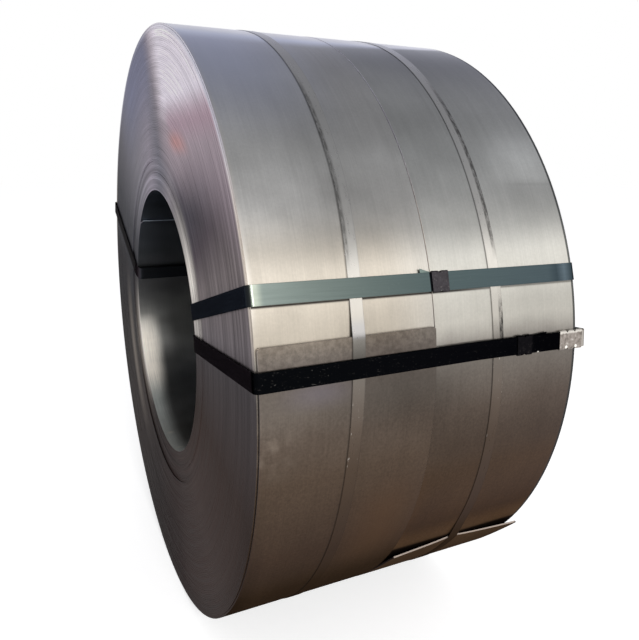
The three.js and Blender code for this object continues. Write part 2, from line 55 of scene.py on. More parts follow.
AXIS_Y, AXIS_Z = 1.743 * MM, 548.381 * MM
NEAR_END = -274.804 * MM
SLIT_WIDTH = 266 * MM
SEAM_GAP = 0.6 * MM
FAR_START = SLIT_WIDTH + SEAM_GAP
WHOLE_WIDTH = FAR_START + SLIT_WIDTH
FAR_END = NEAR_END + WHOLE_WIDTH
ORIGIN = np.array([NEAR_END, AXIS_Y, AXIS_Z])
BORE = 254 * MM
GAUGE = 3 * MM
WALL = 98 * GAUGE
OUTER = BORE + WALL
CLEARANCE = 0.3 * MM

# Groups of turns that stand in from the end plane: first turn, last turn and how far
SET_BACK = [(0, 12, 1 * MM), (12, 19.5, 2 * MM)]

# Round the coil, every turn has this many stations
STATIONS = 216

BELLY_WIDTH, BELLY_THICK, BELLY_GAP = 19 * MM, 0.8 * MM, 0.02 * MM
BELLY_SEAL_ANGLE, BELLY_SEAL, BELLY_LAP = 118, 38 * MM, 10 * MM


def coil(**facts):
    """The facts of one coil. The whole number of turns is the one whose pitch is nearest to the gauge."""
    made = SimpleNamespace(**facts)
    part_turn = ((made.tail - made.head) % 360) / 360
    made.turns = round(WALL / GAUGE - 1 - part_turn) + part_turn
    made.pitch = (WALL - GAUGE) / made.turns
    return made


def band_drift(facts, angle):
    """The drift of a belly band at an angle, in straight runs between its places."""
    angles, millimetres = facts.drift
    return np.interp((np.asarray(angle) - DRIFT_FROM) % 360 + DRIFT_FROM, angles, millimetres) * MM


# Head and tail are the angles of the inner and outer ends of the sheet. The belly band drifts sideways by
# millimetres at angles round the coil, which count on from a place where both bands lie straight.
DRIFT_FROM = -242
NEAR_COIL = coil(
    start=0, open_side=-1, head=133, tail=8.5, tail_lift=1.2 * MM, tail_bow=0, last_set_back=2.6 * MM,
    belly_place=143.5 * MM,
    drift=([-252, -232, -45, -25, -10, 0, 10, 20, 30, 50, 70, 98, 118],
           [0, 0, -12, -7, -5, -2, 1, 4.5, 9, 11, 9.5, 0, 0]),
)
FAR_COIL = coil(
    start=FAR_START, open_side=1, head=60, tail=-37, tail_lift=1.4 * MM, tail_bow=8 * MM, last_set_back=0,
    belly_place=107.5 * MM,
    drift=([-252, -232, -60, -37, -30, -20, -10, 0, 10, 30, 40, 50, 60, 70, 98, 118],
           [0, 0, 17, 18, 14, 10, 6.6, 4.2, 3.6, 3.6, 4.8, 6.6, 9.5, 11, 0, 0]),
)

# The tail stands off over its last degrees and the head curls in over its first. The last turn has slipped
# sideways most over the degrees behind the tip. Extra stations stand at these distances from the tip.
TAIL_ARC, HEAD_ARC, HEAD_CURL, SLIP_ARC = 12, 8, 1 * MM, 70
TIP_STATIONS = np.array([24, 18, 12, 8, 5, 3, 1.5, 0.35, 0]) * MM


# ---- Putting points and faces into meshes ----


def bearing(angle):
    """The way out from the axis at an angle, as (y, z) = (-cos angle, sin angle)."""
    angle = np.radians(angle)
    return np.stack([-np.cos(angle), np.sin(angle)], axis=-1)


def round_the_axis(along, radius, angle):
    """Points at a place along the axis, a radius and an angle."""
    along, radius, angle = np.broadcast_arrays(along, radius, angle)
    return ORIGIN + np.concatenate([along[..., None], radius[..., None] * bearing(angle)], axis=-1)


def grid_quads(numbers, loop_rows=False, loop_columns=False):
    """Quads between neighbouring rows and columns of vertex numbers, which may close on themselves."""
    if loop_rows:
        numbers = np.concatenate([numbers, numbers[:1]], axis=0)
    if loop_columns:
        numbers = np.concatenate([numbers, numbers[:, :1]], axis=1)
    a, b = numbers[:-1, :-1], numbers[:-1, 1:]
    c, d = numbers[1:, 1:], numbers[1:, :-1]
    return np.stack([a, b, c, d], axis=-1).reshape(-1, 4)


class Shell:
    """Gathers points and faces of a piece. Each block of faces has one finish, by its slot number."""

    def __init__(self):
        self.points, self.values, self.faces, self.slots = [], [], [], []
        self.count, self.turned = 0, 0

    def add_points(self, points, value=0.0):
        """Adds an array of points, each with a value, and gives their numbers in the same shape."""
        shape = points.shape[:-1]
        numbers = self.count + np.arange(int(np.prod(shape))).reshape(shape)
        self.points.append(points.reshape(-1, 3))
        self.values.append(np.broadcast_to(value, shape).reshape(-1))
        self.count += numbers.size
        return numbers

    def add_faces(self, faces, slot=0, flip=False):
        """Adds faces, one in each row of vertex numbers, turned round where flip is set."""
        faces = np.atleast_2d(faces)
        self.faces.append(faces[:, ::-1] if flip else faces)
        self.slots.append(np.full(len(faces), slot))

    def add_strip(self, low, high, slot=0, flip=False):
        """Adds the quads between two rows of vertex numbers."""
        self.add_faces(grid_quads(np.stack([low, high])), slot, flip)

    def turn_out(self):
        """Turns the closed body added since the last call to face outwards: its volume becomes positive."""
        points = np.concatenate(self.points)
        points = points - points.mean(axis=0)
        volume = 0.0
        for faces in self.faces[self.turned :]:
            for k in range(1, faces.shape[1] - 1):
                a, b, c = points[faces[:, 0]], points[faces[:, k]], points[faces[:, k + 1]]
                volume += np.einsum("ij,ij->", a, np.cross(b, c))
        if volume < 0:
            self.faces[self.turned :] = [faces[:, ::-1] for faces in self.faces[self.turned :]]
        self.turned = len(self.faces)

    def piece(self, name, materials, value_name="turn", sharp=30):
        """Makes the object: smooth, but for edges sharper than an angle."""
        points = np.concatenate(self.points)
        sizes = np.concatenate([np.full(len(f), f.shape[1]) for f in self.faces])
        starts = np.concatenate([[0], np.cumsum(sizes)[:-1]])
        corners = np.concatenate([f.reshape(-1) for f in self.faces])
        mesh = bpy.data.meshes.new(name)
        mesh.vertices.add(len(points))
        mesh.loops.add(len(corners))
        mesh.polygons.add(len(sizes))
        mesh.vertices.foreach_set("co", points.astype(np.float32).ravel())
        mesh.loops.foreach_set("vertex_index", corners.astype(np.int32))
        mesh.polygons.foreach_set("loop_start", starts.astype(np.int32))
        mesh.polygons.foreach_set("material_index", np.concatenate(self.slots).astype(np.int32))
        mesh.update(calc_edges=True)
        if mesh.validate():
            print("mended mesh", name)
        mesh.attributes.new(value_name, "FLOAT", "POINT").data.foreach_set(
            "value", np.concatenate(self.values).astype(np.float32)
        )
        mesh.shade_smooth()
        mesh.set_sharp_from_angle(angle=math.radians(sharp))
        for material in materials:
            mesh.materials.append(material)
        made = bpy.data.objects.new(name, mesh)
        bpy.context.scene.collection.objects.link(made)
        return made


# ---- The coils ----

# Slots of a coil's materials
ROLLED, EDGE, CUT, IN_BORE = range(4)


def eased(share):
    """0 below 0, 1 above 1, and 3t^2 - 2t^3 between."""
    share = np.clip(share, 0, 1)
    return share * share * (3 - 2 * share)


def wander(places, seed, step):
    """Smooth random values from -1 to 1: even random knots every step, joined by eased runs."""
    knots = np.random.default_rng(seed).uniform(-1, 1, int(np.max(places) / step) + 3)
    whole = np.floor(places / step).astype(int)
    part = eased(places / step - whole)
    return knots[whole] * (1 - part) + knots[whole + 1] * part


def edge_depth(turn, seed):
    """How far the slit edge of a turn stands in from the end plane: the set-back of its group, which comes
    and goes over some turns, a wander from turn to turn and a slower one."""
    step_turns = 1.6
    depth = np.zeros_like(turn)
    for first, last, back in SET_BACK:
        depth += back * (eased((turn - first) / step_turns + 1) - eased((turn - last) / step_turns + 1))
    for reach, order, knot_turns in ((0.3 * MM, 0, 0.37), (0.15 * MM, 1, 3.1)):
        depth += reach * (1 + wander(turn, seed + order, knot_turns)) / 2
    return depth


def station_turns(first, last):
    """Turns from the head at whole stations, from one station to another."""
    return np.arange(first, last + 1) / STATIONS


def tail_height(facts, behind, along):
    """How far the outer turn stands off: its lift at the tip, bowed up away from the belly band, falling as
    the square of the way back from the tip."""
    place = facts.belly_place + band_drift(facts, facts.tail)
    room = max(place, SLIT_WIDTH - place) - BELLY_WIDTH / 2
    away = np.maximum(0, np.abs(along - place) - BELLY_WIDTH / 2) / room
    lift = facts.tail_lift + facts.tail_bow * away**0.75
    return lift * np.maximum(0, 1 - behind / TAIL_ARC) ** 2


def wound_body(shell, facts, first, last, seed):
    """All turns but the first and last, as one closed body between two stations of the spiral.

    Radius is the bore plus pitch times turns. On the open end each turn is a flat land with a groove on
    each side, set in by edge_depth. The other end, at the seam, is one flat face.
    """
    pitch, side = facts.pitch, facts.open_side
    flip = side < 0
    open_end, seam = (0, SLIT_WIDTH) if flip else (SLIT_WIDTH, 0)
    turn = station_turns(first, last)
    groove_turn = station_turns(first, last + STATIONS)
    count = len(turn)
    groove_width, groove_depth = 0.4 * MM, 0.3 * MM
    depth = edge_depth(turn, seed)
    groove_back = edge_depth(groove_turn, seed)
    groove_back[STATIONS:] = np.maximum(groove_back[STATIONS:], edge_depth(groove_turn[:-STATIONS], seed))

    def spiral(along, out, turn):
        places = round_the_axis(facts.start + along, BORE + pitch * turn + out, facts.head + 360 * turn)
        return shell.add_points(places, turn)

    groove = spiral(open_end - side * (groove_back + groove_depth), 0, groove_turn)
    inner = spiral(open_end - side * depth, groove_width, turn)
    outer = spiral(open_end - side * depth, pitch - groove_width, turn)
    for low, high in ((groove[:count], inner), (inner, outer), (outer, groove[STATIONS:])):
        shell.add_strip(low, high, EDGE, not flip)

    seams = []
    bore_ring, rim_ring = slice(STATIONS + 1), slice(count - 1, None)
    for ring, station, turned in ((bore_ring, 0, flip), (rim_ring, -1, not flip)):
        at_groove, at_seam = groove[ring], spiral(seam, 0, groove_turn[ring])
        shell.add_strip(at_groove, at_seam, ROLLED, turned)
        step = [at_groove[0], inner[station], outer[station], at_groove[-1], at_seam[-1], at_seam[0]]
        shell.add_faces(step, ROLLED, not turned)
        seams.append(at_seam)
    bore_seam, rim_seam = seams
    here = np.arange(STATIONS)
    shift = (count - 1) % STATIONS
    order = (here - shift) % STATIONS
    seam_quads = [bore_seam[here], bore_seam[here + 1], rim_seam[order + 1], rim_seam[order]]
    shell.add_faces(np.stack(seam_quads, axis=-1), ROLLED, flip)
    shell.add_faces([bore_seam[-1], bore_seam[0], rim_seam[order[0]]], ROLLED, flip)
    shell.add_faces([bore_seam[shift], rim_seam[0], rim_seam[-1]], ROLLED, flip)
    shell.turn_out()


def sheet_turn(shell, facts, turn, share, height, back, cut_at_end, corner_radius, face_slot):
    """One turn of sheet as a thin closed solid.

    The section is a rectangle of the gauge with small cut corners, with points at shares of the width on both
    faces. The radius is the spiral's plus a height, and the open edge is set back. Near its cut end the
    corners of the sheet are rounded by a quarter circle: at d from the end the edge draws in by
    r - sqrt(r^2 - (r - d)^2).
    """
    corner = 0.35 * MM
    radius = BORE + facts.pitch * turn
    end = turn[-1] if cut_at_end else turn[0]
    from_cut = np.abs(turn - end) * 2 * math.pi * radius
    within = np.clip(corner_radius - from_cut, 0, corner_radius)
    drawn = corner_radius - np.sqrt(corner_radius**2 - within**2)
    near_back, far_back = (back, 0) if facts.open_side < 0 else (0, back)
    low, high = drawn + near_back, SLIT_WIDTH - drawn - far_back
    full = np.ones_like(turn)
    full[-1 if cut_at_end else 0] = 1 - 2 * corner / GAUGE

    def row(across, through):
        middle = GAUGE / 2
        out = radius + height(across) + middle + (through - middle) * full
        return round_the_axis(facts.start + across, out, facts.head + 360 * turn)

    spread = [low + corner + (high - low - 2 * corner) * s for s in share]
    top = [row(a, GAUGE) for a in spread]
    bottom = [row(a, 0) for a in reversed(spread)]
    right = [row(high, GAUGE - corner), row(high, corner)]
    left = [row(low, corner), row(low, GAUGE - corner)]
    numbers = shell.add_points(np.stack(top + right + bottom + left), turn)
    rows, count = len(numbers), len(share)
    for i in range(rows):
        on_edge = count - 1 <= i < count + 2 or i >= 2 * count + 1
        shell.add_strip(numbers[i], numbers[(i + 1) % rows], EDGE if on_edge else face_slot)
    for station, flip in ((0, False), (-1, True)):
        section = numbers[:, station]
        upper, lower = section[:count], section[count + 2 : 2 * count + 2][::-1]
        shell.add_strip(upper, lower, CUT, flip)
        right_end = [upper[-1], section[count], section[count + 1], lower[-1]]
        left_end = [lower[0], section[-2], section[-1], upper[0]]
        shell.add_faces([right_end, left_end], CUT, flip)
    shell.turn_out()


def slit_coil(name, facts, seed, materials):
    """One coil: the wound body, the outer turn with its sprung tail and the inner turn with its head."""
    shell = Shell()
    turns = facts.turns
    head_end = STATIONS + math.ceil(STATIONS * HEAD_ARC / 360)
    tail_start = math.floor((turns - 1 - TAIL_ARC / 360) * STATIONS)
    wound_body(shell, facts, head_end, tail_start, seed)
    # The outer turn has points at these shares of the width, and the inner turn at fewer of them
    share = np.linspace(0, 1, 29)

    outer_turn = station_turns(tail_start, math.floor(turns * STATIONS))
    tip_turns = turns - TIP_STATIONS / (2 * math.pi * OUTER)
    outer_turn = np.concatenate([outer_turn[outer_turn < tip_turns[0] - 0.3 / STATIONS], tip_turns])
    behind_tip = (turns - outer_turn) * 360
    slipped = facts.last_set_back * (0.25 + 0.75 * eased(1 - behind_tip / SLIP_ARC))
    back = edge_depth(outer_turn, seed) + slipped * eased((outer_turn - turns + 1) * STATIONS)

    def tail(across):
        return tail_height(facts, behind_tip, across)

    sheet_turn(shell, facts, outer_turn, share, tail, back,
               cut_at_end=True, corner_radius=4 * MM, face_slot=ROLLED)
    inner_turn = station_turns(0, head_end)
    back = edge_depth(inner_turn, seed)

    def head(_):
        return -HEAD_CURL * np.maximum(0, 1 - inner_turn * 360 / HEAD_ARC) ** 2

    sheet_turn(shell, facts, inner_turn, share[::7], head, back,
               cut_at_end=False, corner_radius=5 * MM, face_slot=IN_BORE)
    return shell.piece(name, materials)


# ---- The bands and their laps ----

EYE_WIDTH, EYE_THICK, EYE_BEND = 27 * MM, 1 * MM, 8 * MM
SEAL_THICK = 0.9 * MM
LAP_BITE = 0.1 * MM
ALONG_AXIS = np.array([1.0, 0, 0])

# Half the angle of a facet of the solid's bore, over whose flats the eye bands lie
HALF_FACET = 1.875


def surface_radius(facts, angle):
    """Radius of the outside at an angle, one gauge less a full turn back from the tip of the tail."""
    return OUTER - ((facts.tail - angle) % 360) / 360 * GAUGE


def bore_radius(facts, angle):
    """Radius of the bore at an angle, one gauge more a full turn on from the head."""
    return BORE + ((angle - facts.head) % 360) / 360 * GAUGE


def height_at_seal(thickness):
    """Height off the coil at which a band leaves room for its lap and the fold of its seal."""
    return 2 * CLEARANCE + SEAL_THICK + thickness


def taut_path(supports, longest=6 * MM):
    """The convex path of a band pulled tight round its supports, cut into steps no longer than a length."""
    supports = np.array(supports)
    path = supports[convex_hull_2d([tuple(p) for p in supports])]
    ahead = np.roll(path, -1, axis=0)
    length = np.linalg.norm(ahead - path, axis=1)
    path, ahead, length = path[length > 1e-6], ahead[length > 1e-6], length[length > 1e-6]
    pieces = np.ceil(length / longest).astype(int)
    first = np.repeat(np.cumsum(pieces) - pieces, pieces)
    share = (np.arange(pieces.sum()) - first) / np.repeat(pieces, pieces)
    return np.repeat(path, pieces, axis=0) + np.repeat(ahead - path, pieces, axis=0) * share[:, None]


def path_normals(path):
    """Unit normals out of a closed anticlockwise path: the mean of the two steps, turned right."""
    step = np.roll(path, -1, axis=0) - path
    step /= np.linalg.norm(step, axis=1)[:, None]
    mean = step + np.roll(step, 1, axis=0)
    mean /= np.linalg.norm(mean, axis=1)[:, None]
    return np.stack([mean[:, 1], -mean[:, 0]], axis=-1)


def band_section(width, thickness):
    """Points round a strip of band (across, off): a rectangle with cut corners, and more on each face."""
    corner = 0.3 * thickness
    face = np.linspace(-width / 2 + corner, width / 2 - corner, 6)
    top = [(a, thickness) for a in face]
    right = [(width / 2, thickness - corner), (width / 2, corner)]
    bottom = [(a, 0) for a in face[::-1]]
    left = [(-width / 2, corner), (-width / 2, thickness - corner)]
    return np.array(top + right + bottom + left)


def lay_band(shell, path, across, off, section, closed, slot=0):
    """Carries a section along a path: point = path + across * a + off * b for each (a, b). Each keeps a."""
    path, across, off = (np.broadcast_to(rows, path.shape)[:, None] for rows in (path, across, off))
    points = path + across * section[:, :1] + off * section[:, 1:]
    numbers = shell.add_points(points, section[:, 0])
    shell.add_faces(grid_quads(numbers, loop_rows=closed, loop_columns=True), slot)
    if not closed:
        shell.add_faces(numbers[0][None], slot, True)
        shell.add_faces(numbers[-1][None], slot)
    shell.turn_out()


def lay_lap(shell, frame_of, width, thickness, half_seal, start, end):
    """The strap end under a seal, from one reach to another, each with its veer to one side."""
    along = np.array([start[0], -half_seal, half_seal, end[0]])
    veer = np.array([start[1], 0, 0, end[1]])
    fine = np.linspace(start[0], end[0], 16)
    centre = np.stack([fine, np.interp(fine, along, veer), 0 * fine - thickness], axis=-1)
    origin, axes = frame_of
    section = band_section(width, thickness + LAP_BITE)
    lay_band(shell, origin + centre @ axes, axes[1], axes[2], section, closed=False, slot=1)


def belly_joint(facts):
    """The frame of a belly seal: along the band, across it and off the coil."""
    off = np.array([0, *bearing(BELLY_SEAL_ANGLE)])
    radius = surface_radius(facts, BELLY_SEAL_ANGLE) + height_at_seal(BELLY_THICK)
    origin = ORIGIN + ALONG_AXIS * (facts.start + facts.belly_place) + off * radius
    return origin, np.stack([np.cross(ALONG_AXIS, off), ALONG_AXIS, off])


def belly_strap(name, facts, material):
    """A flat hoop pulled tight round a coil, over the tip of its tail and over its own lap."""
    behind = np.arange(0, 360, 1.0)
    radius = OUTER - facts.pitch * behind / 360 + BELLY_GAP
    radius += facts.tail_lift * np.maximum(0, 1 - behind / TAIL_ARC) ** 2
    round_coil = radius[:, None] * bearing(facts.tail - behind)
    half_lap = BELLY_SEAL / 2 + BELLY_LAP + CLEARANCE
    chord = surface_radius(facts, BELLY_SEAL_ANGLE) + height_at_seal(BELLY_THICK)
    spread = np.degrees(np.arctan(half_lap / chord)) * np.array([-1, 1])
    seal_ends = np.hypot(chord, half_lap) * bearing(BELLY_SEAL_ANGLE + spread)
    path = taut_path(np.concatenate([round_coil, seal_ends]))
    drift = band_drift(facts, np.degrees(np.arctan2(path[:, 1], -path[:, 0])))
    centre = ORIGIN + np.column_stack([facts.start + facts.belly_place + drift, path])
    off = np.column_stack([0 * drift, path_normals(path)])
    shell = Shell()
    lay_band(shell, centre, ALONG_AXIS, off, band_section(BELLY_WIDTH, BELLY_THICK), closed=True)
    reach = BELLY_SEAL / 2 + BELLY_LAP
    lay_lap(shell, belly_joint(facts), BELLY_WIDTH, BELLY_THICK, BELLY_SEAL / 2, (-reach, 0), (reach, 0))
    return shell.piece(name, [material, material], "across")


def bend(corner, sign_x, sign_out, reach):
    """A quarter bend of the band round an edge, clear of it: a quarter ellipse, with its own reach away from
    the axis or towards it."""
    sizes = np.array([EYE_BEND, reach])
    signs = np.array([sign_x, sign_out])
    turned = np.radians(np.linspace(0, 90, 13))
    centre = np.array(corner) - (sizes - CLEARANCE) / math.sqrt(2) * signs
    return centre + sizes * signs * np.stack([np.cos(turned), np.sin(turned)], axis=-1)


def eye_plane(band):
    """The plane of a band on the near coil: its point at the bore as (y, z), the way out from there to its
    point on the outside, and how far that is."""
    bore_edge = bore_radius(NEAR_COIL, band.bore_angle) * bearing(band.bore_angle)
    outward = surface_radius(NEAR_COIL, band.angle) * bearing(band.angle) - bore_edge
    span = np.linalg.norm(outward)
    return bore_edge, outward / span, span


def drifted(band, along, points):
    """Points or directions of a band, as (y, z), turned round the axis by its drift at a place along it."""
    angle = np.radians(np.interp(along / MM, *band.drift))
    y, z = points[..., 0], points[..., 1]
    return np.stack([y * np.cos(angle) + z * np.sin(angle), z * np.cos(angle) - y * np.sin(angle)], axis=-1)


def eye_path(band):
    """The path of a band through the eye, as (along the axis, out from the bore): tight round the rims, the
    edges of the bore, the turns that stand out, the belly bands and its own laps."""
    _, _, span = eye_plane(band)
    in_bore, outside = [], []
    for facts in (NEAR_COIL, FAR_COIL):
        flat = bore_radius(facts, band.bore_angle) * math.cos(math.radians(HALF_FACET))
        in_bore.append(math.sqrt(flat**2 - (EYE_WIDTH / 2) ** 2) - bore_radius(NEAR_COIL, band.bore_angle))
        outside.append(span + surface_radius(facts, band.angle) - surface_radius(NEAR_COIL, band.angle))
    (_, first_end, first_back), (_, second_end, second_back) = SET_BACK
    supports = [
        bend((0, outside[0]), -1, 1, band.rim_bend),
        bend((WHOLE_WIDTH + band.overhang, outside[1]), 1, 1, band.rim_bend),
        bend((first_back, in_bore[0]), -1, -1, band.bore_bend),
        bend((WHOLE_WIDTH - first_back, in_bore[1]), 1, -1, band.bore_bend),
    ]
    for turns, back in ((second_end + 1, 0), (first_end, second_back), (second_end, 0)):
        out = GAUGE * turns
        supports.append([(back - CLEARANCE, out), (WHOLE_WIDTH - back + CLEARANCE, out)])
    for facts, surface in zip((NEAR_COIL, FAR_COIL), outside):
        over = surface + 2 * CLEARANCE + BELLY_THICK
        place = facts.start + facts.belly_place + float(band_drift(facts, band.angle))
        supports.append([(place - BELLY_WIDTH / 2, over), (place + BELLY_WIDTH / 2, over)])
    for joint in band.joints:
        on_far = joint.place + joint.length / 2 > FAR_START
        over = outside[on_far] + height_at_seal(EYE_THICK)
        supports.append([(joint.place + reach, over) for reach in (joint.start[0], joint.end[0])])
    return taut_path(np.concatenate(supports))


def eye_joint(band, joint):
    """The frame of a seal on a band through the eye: along, across and off the band where it stands."""
    bore_edge, outward, span = eye_plane(band)
    path = eye_path(band)
    upper = path[path[:, 1] > span / 2]
    upper = upper[np.argsort(upper[:, 0])]
    ends = joint.place + np.array([-0.5, 0.5]) * joint.length
    heights = np.interp(ends, upper[:, 0], upper[:, 1])
    start, end = np.column_stack([ends, drifted(band, ends, bore_edge + outward * heights[:, None])])
    along = (end - start) / np.linalg.norm(end - start)
    level = np.array([0, *drifted(band, joint.place, bearing(band.angle + 90))])
    off = np.cross(along, level)
    off /= np.linalg.norm(off)
    return ORIGIN + (start + end) / 2, np.stack([along, np.cross(off, along), off])


def eye_strap(name, band, materials):
    """A band over the outside, down one end face, along the bore and back up the other, and its laps, which
    have the second material. It turns evenly from the slope of the bore to that of the outside."""
    bore_edge, outward, span = eye_plane(band)
    path = eye_path(band)
    normal = path_normals(path)
    share = np.clip(path[:, 1] / span, 0, 1)
    angle = band.bore_angle + (band.angle - band.bore_angle) * share
    along = path[:, 0]
    centre = ORIGIN + np.column_stack([along, drifted(band, along, bore_edge + outward * path[:, 1:])])
    off = np.column_stack([normal[:, 0], drifted(band, along, outward * normal[:, 1:])])
    across = np.column_stack([0 * along, drifted(band, along, bearing(angle + 90))])
    shell = Shell()
    lay_band(shell, centre, across, off, band_section(EYE_WIDTH, EYE_THICK), closed=True)
    for joint in band.joints:
        frame_of = eye_joint(band, joint)
        lay_lap(shell, frame_of, EYE_WIDTH, EYE_THICK, joint.length / 2, joint.start, joint.end)
    return shell.piece(name, materials, "across")


def lap_joint(place, length, start, end):
    """A seal, and how far each strap end reaches from its middle and veers to one side."""
    return SimpleNamespace(place=place, length=length, start=start, end=end)


def eye_band(joints, angle, bore_angle, drift, overhang=0, bore_bend=EYE_BEND, rim_bend=EYE_BEND):
    """A band through the eye. At two places along it, in millimetres, it has drifted round by the degrees."""
    return SimpleNamespace(joints=joints, angle=angle, bore_angle=bore_angle, drift=drift, overhang=overhang,
                           bore_bend=bore_bend, rim_bend=rim_bend)


UPPER_JOINT = lap_joint(FAR_START + 13.4 * MM, 27.5 * MM, (-31.75 * MM, 6 * MM), (22.75 * MM, 0))
INNER_JOINT = lap_joint(FAR_START + 158.4 * MM, 28 * MM, (-29 * MM, 0), (44 * MM, 3 * MM))
END_JOINT = lap_joint(WHOLE_WIDTH - 14 * MM, 46 * MM, (-23 * MM, 0), (23 * MM, 0))
BACK_JOINT = lap_joint(180 * MM, 45 * MM, (-44.5 * MM, 0), (44.5 * MM, 0))
UPPER_BAND = eye_band([UPPER_JOINT], angle=15, bore_angle=15, drift=([20, 510], [0.25, -0.3]))
LOWER_BAND = eye_band([INNER_JOINT, END_JOINT], angle=4, bore_angle=4, drift=([340, 545], [0, -0.45]),
                      overhang=17 * MM)
BACK_BAND = eye_band([BACK_JOINT], angle=158.5, bore_angle=165, drift=([20, 510], [0, 0]),
                     bore_bend=30 * MM, rim_bend=3 * MM)


# ---- Shader nodes ----


class Value:
    """The number, vector or colour that a node gives. Sums and products of numbers are Math nodes."""

    def __init__(self, socket):
        self.socket, self.tree = socket, socket.id_data

    def __add__(self, other):
        return maths("ADD", self, other)

    def __sub__(self, other):
        return maths("SUBTRACT", self, other)

    def __rsub__(self, other):
        return maths("SUBTRACT", other, self)

    def __mul__(self, other):
        return maths("MULTIPLY", self, other)

    def __truediv__(self, other):
        return maths("DIVIDE", self, other)

    def __abs__(self):
        return maths("ABSOLUTE", self)

    __radd__, __rmul__ = __add__, __mul__


def feed(socket, value):
    """Feeds a socket: a value is linked to it, and a constant is set on it."""
    if isinstance(value, Value):
        value.tree.links.new(value.socket, socket)
    else:
        socket.default_value = value


def put(kind, output, inputs, tree=None, **settings):
    """Adds a node with its settings, feeds its named or numbered inputs, and gives the value of one output.
    It goes into the tree of the values that feed it, or into the tree it is given."""
    tree = tree or next(value.tree for value in inputs.values() if isinstance(value, Value))
    made = tree.nodes.new(kind)
    for key, value in settings.items():
        setattr(made, key, value)
    for key, value in inputs.items():
        feed(made.inputs[key], value)
    return Value(made.outputs[output])


def maths(operation, *values):
    return put("ShaderNodeMath", 0, dict(enumerate(values)), operation=operation)


def highest(first, second):
    return maths("MAXIMUM", first, second)


def fade(value, low, high, start=0, end=1):
    """Goes smoothly from start to end while value goes from low to high, and stays there outside."""
    inputs = {"Value": value, "From Min": low, "From Max": high, "To Min": start, "To Max": end}
    return put("ShaderNodeMapRange", "Result", inputs, interpolation_type="SMOOTHSTEP")


def fall(value, low, high):
    """Goes smoothly from 1 to 0 while value goes from low to high."""
    return fade(value, low, high, 1, 0)


def between(value, up_from, up_to, down_from, down_to):
    """1 from up_to to down_from, and smoothly down to 0 at up_from and at down_to."""
    return fade(value, up_from, up_to) * fall(value, down_from, down_to)


def hump(value, middle, reach):
    """1 at the middle, smoothly down to 0 at the reach on each side."""
    return fall(abs(value - middle), 0, reach)


def share_of_way(value, low, high):
    """0 below low, 1 above high, and evenly up between."""
    return put("ShaderNodeMapRange", "Result", {"Value": value, "From Min": low, "From Max": high})


def curve(value, places, heights, low=0, high=1):
    """A value read off straight runs between places, whose heights lie between low and high."""
    first, last = places[0], places[-1]
    result = put("ShaderNodeFloatCurve", "Value", {"Value": share_of_way(value, first, last)})
    mapping = result.socket.node.mapping
    line = mapping.curves[0].points
    while len(line) < len(places):
        line.new(0.5, 0.5)
    for point, place, height in zip(line, places, heights):
        point.location = ((place - first) / (last - first), (height - low) / (high - low))
        point.handle_type = "VECTOR"
    mapping.update()
    return low + (high - low) * result


def linear(red, green, blue):
    """A colour as shaders want it, from its 0 to 255 screen values."""
    screen = np.array([red, green, blue]) / 255
    light = np.where(screen <= 0.04045, screen / 12.92, ((screen + 0.055) / 1.055) ** 2.4)
    return (*light.tolist(), 1)


def tone(value, low, high, stops):
    """A colour by a value between low and high, from stops of (value, screen colour)."""
    result = put("ShaderNodeValToRGB", "Color", {"Fac": share_of_way(value, low, high)})
    elements = result.socket.node.color_ramp.elements
    while len(elements) < len(stops):
        elements.new(0.5)
    for element, (place, colour) in zip(elements, stops):
        element.position = (place - low) / (high - low)
        element.color = linear(*colour)
    return result


def mixed(share, first, second, way="MIX"):
    """Two colours mixed, second over first by a share. Each is a value or a screen colour."""
    first, second = (shade if isinstance(shade, Value) else linear(*shade) for shade in (first, second))
    return put("ShaderNodeMix", 2, {0: share, 6: first, 7: second}, data_type="RGBA", blend_type=way)


def lighter(colour, times):
    """A colour multiplied by a value."""
    grey = put("ShaderNodeCombineColor", "Color", {0: times, 1: times, 2: times})
    return mixed(1, colour, grey, "MULTIPLY")


def vector(x, y, z):
    return put("ShaderNodeCombineXYZ", "Vector", {0: x, 1: y, 2: z})


def length(x, y, z):
    return put("ShaderNodeVectorMath", "Value", {0: vector(x, y, z)}, operation="LENGTH")


def noise(place, scale, detail=2, roughness=0.5):
    """A noise value from 0 to 1, at a vector, or at a number for noise along a line."""
    on_line = place.socket.type == "VALUE"
    inputs = {"W" if on_line else "Vector": place, "Scale": scale, "Detail": detail, "Roughness": roughness}
    return put("ShaderNodeTexNoise", "Fac", inputs, noise_dimensions="1D" if on_line else "3D")


def bump(height, strength, distance):
    return put("ShaderNodeBump", "Normal", {"Strength": strength, "Distance": distance, "Height": height})


def attribute(tree, name):
    return put("ShaderNodeAttribute", "Fac", {}, tree, attribute_name=name)


def open_group(name, *inputs):
    """A new node group, and the values of its numbers."""
    tree = bpy.data.node_groups.new(name, "ShaderNodeTree")
    for label in inputs:
        tree.interface.new_socket(label, in_out="INPUT", socket_type="NodeSocketFloat")
    given = tree.nodes.new("NodeGroupInput").outputs
    return tree, *(Value(given[label]) for label in inputs)


def close_group(tree, outputs):
    """Gives a group its outputs, by name."""
    kinds = {"VALUE": "NodeSocketFloat", "VECTOR": "NodeSocketVector", "RGBA": "NodeSocketColor"}
    for label, value in outputs.items():
        tree.interface.new_socket(label, in_out="OUTPUT", socket_type=kinds[value.socket.type])
    last = tree.nodes.new("NodeGroupOutput").inputs
    for label, value in outputs.items():
        feed(last[label], value)
    return tree


def use(tree, shared, **inputs):
    """Puts a shared group in a tree and gives its outputs, each by its name."""
    made = tree.nodes.new("ShaderNodeGroup")
    made.node_tree = shared
    for label, value in inputs.items():
        feed(made.inputs[label], value)
    return SimpleNamespace(**{socket.name: Value(socket) for socket in made.outputs})


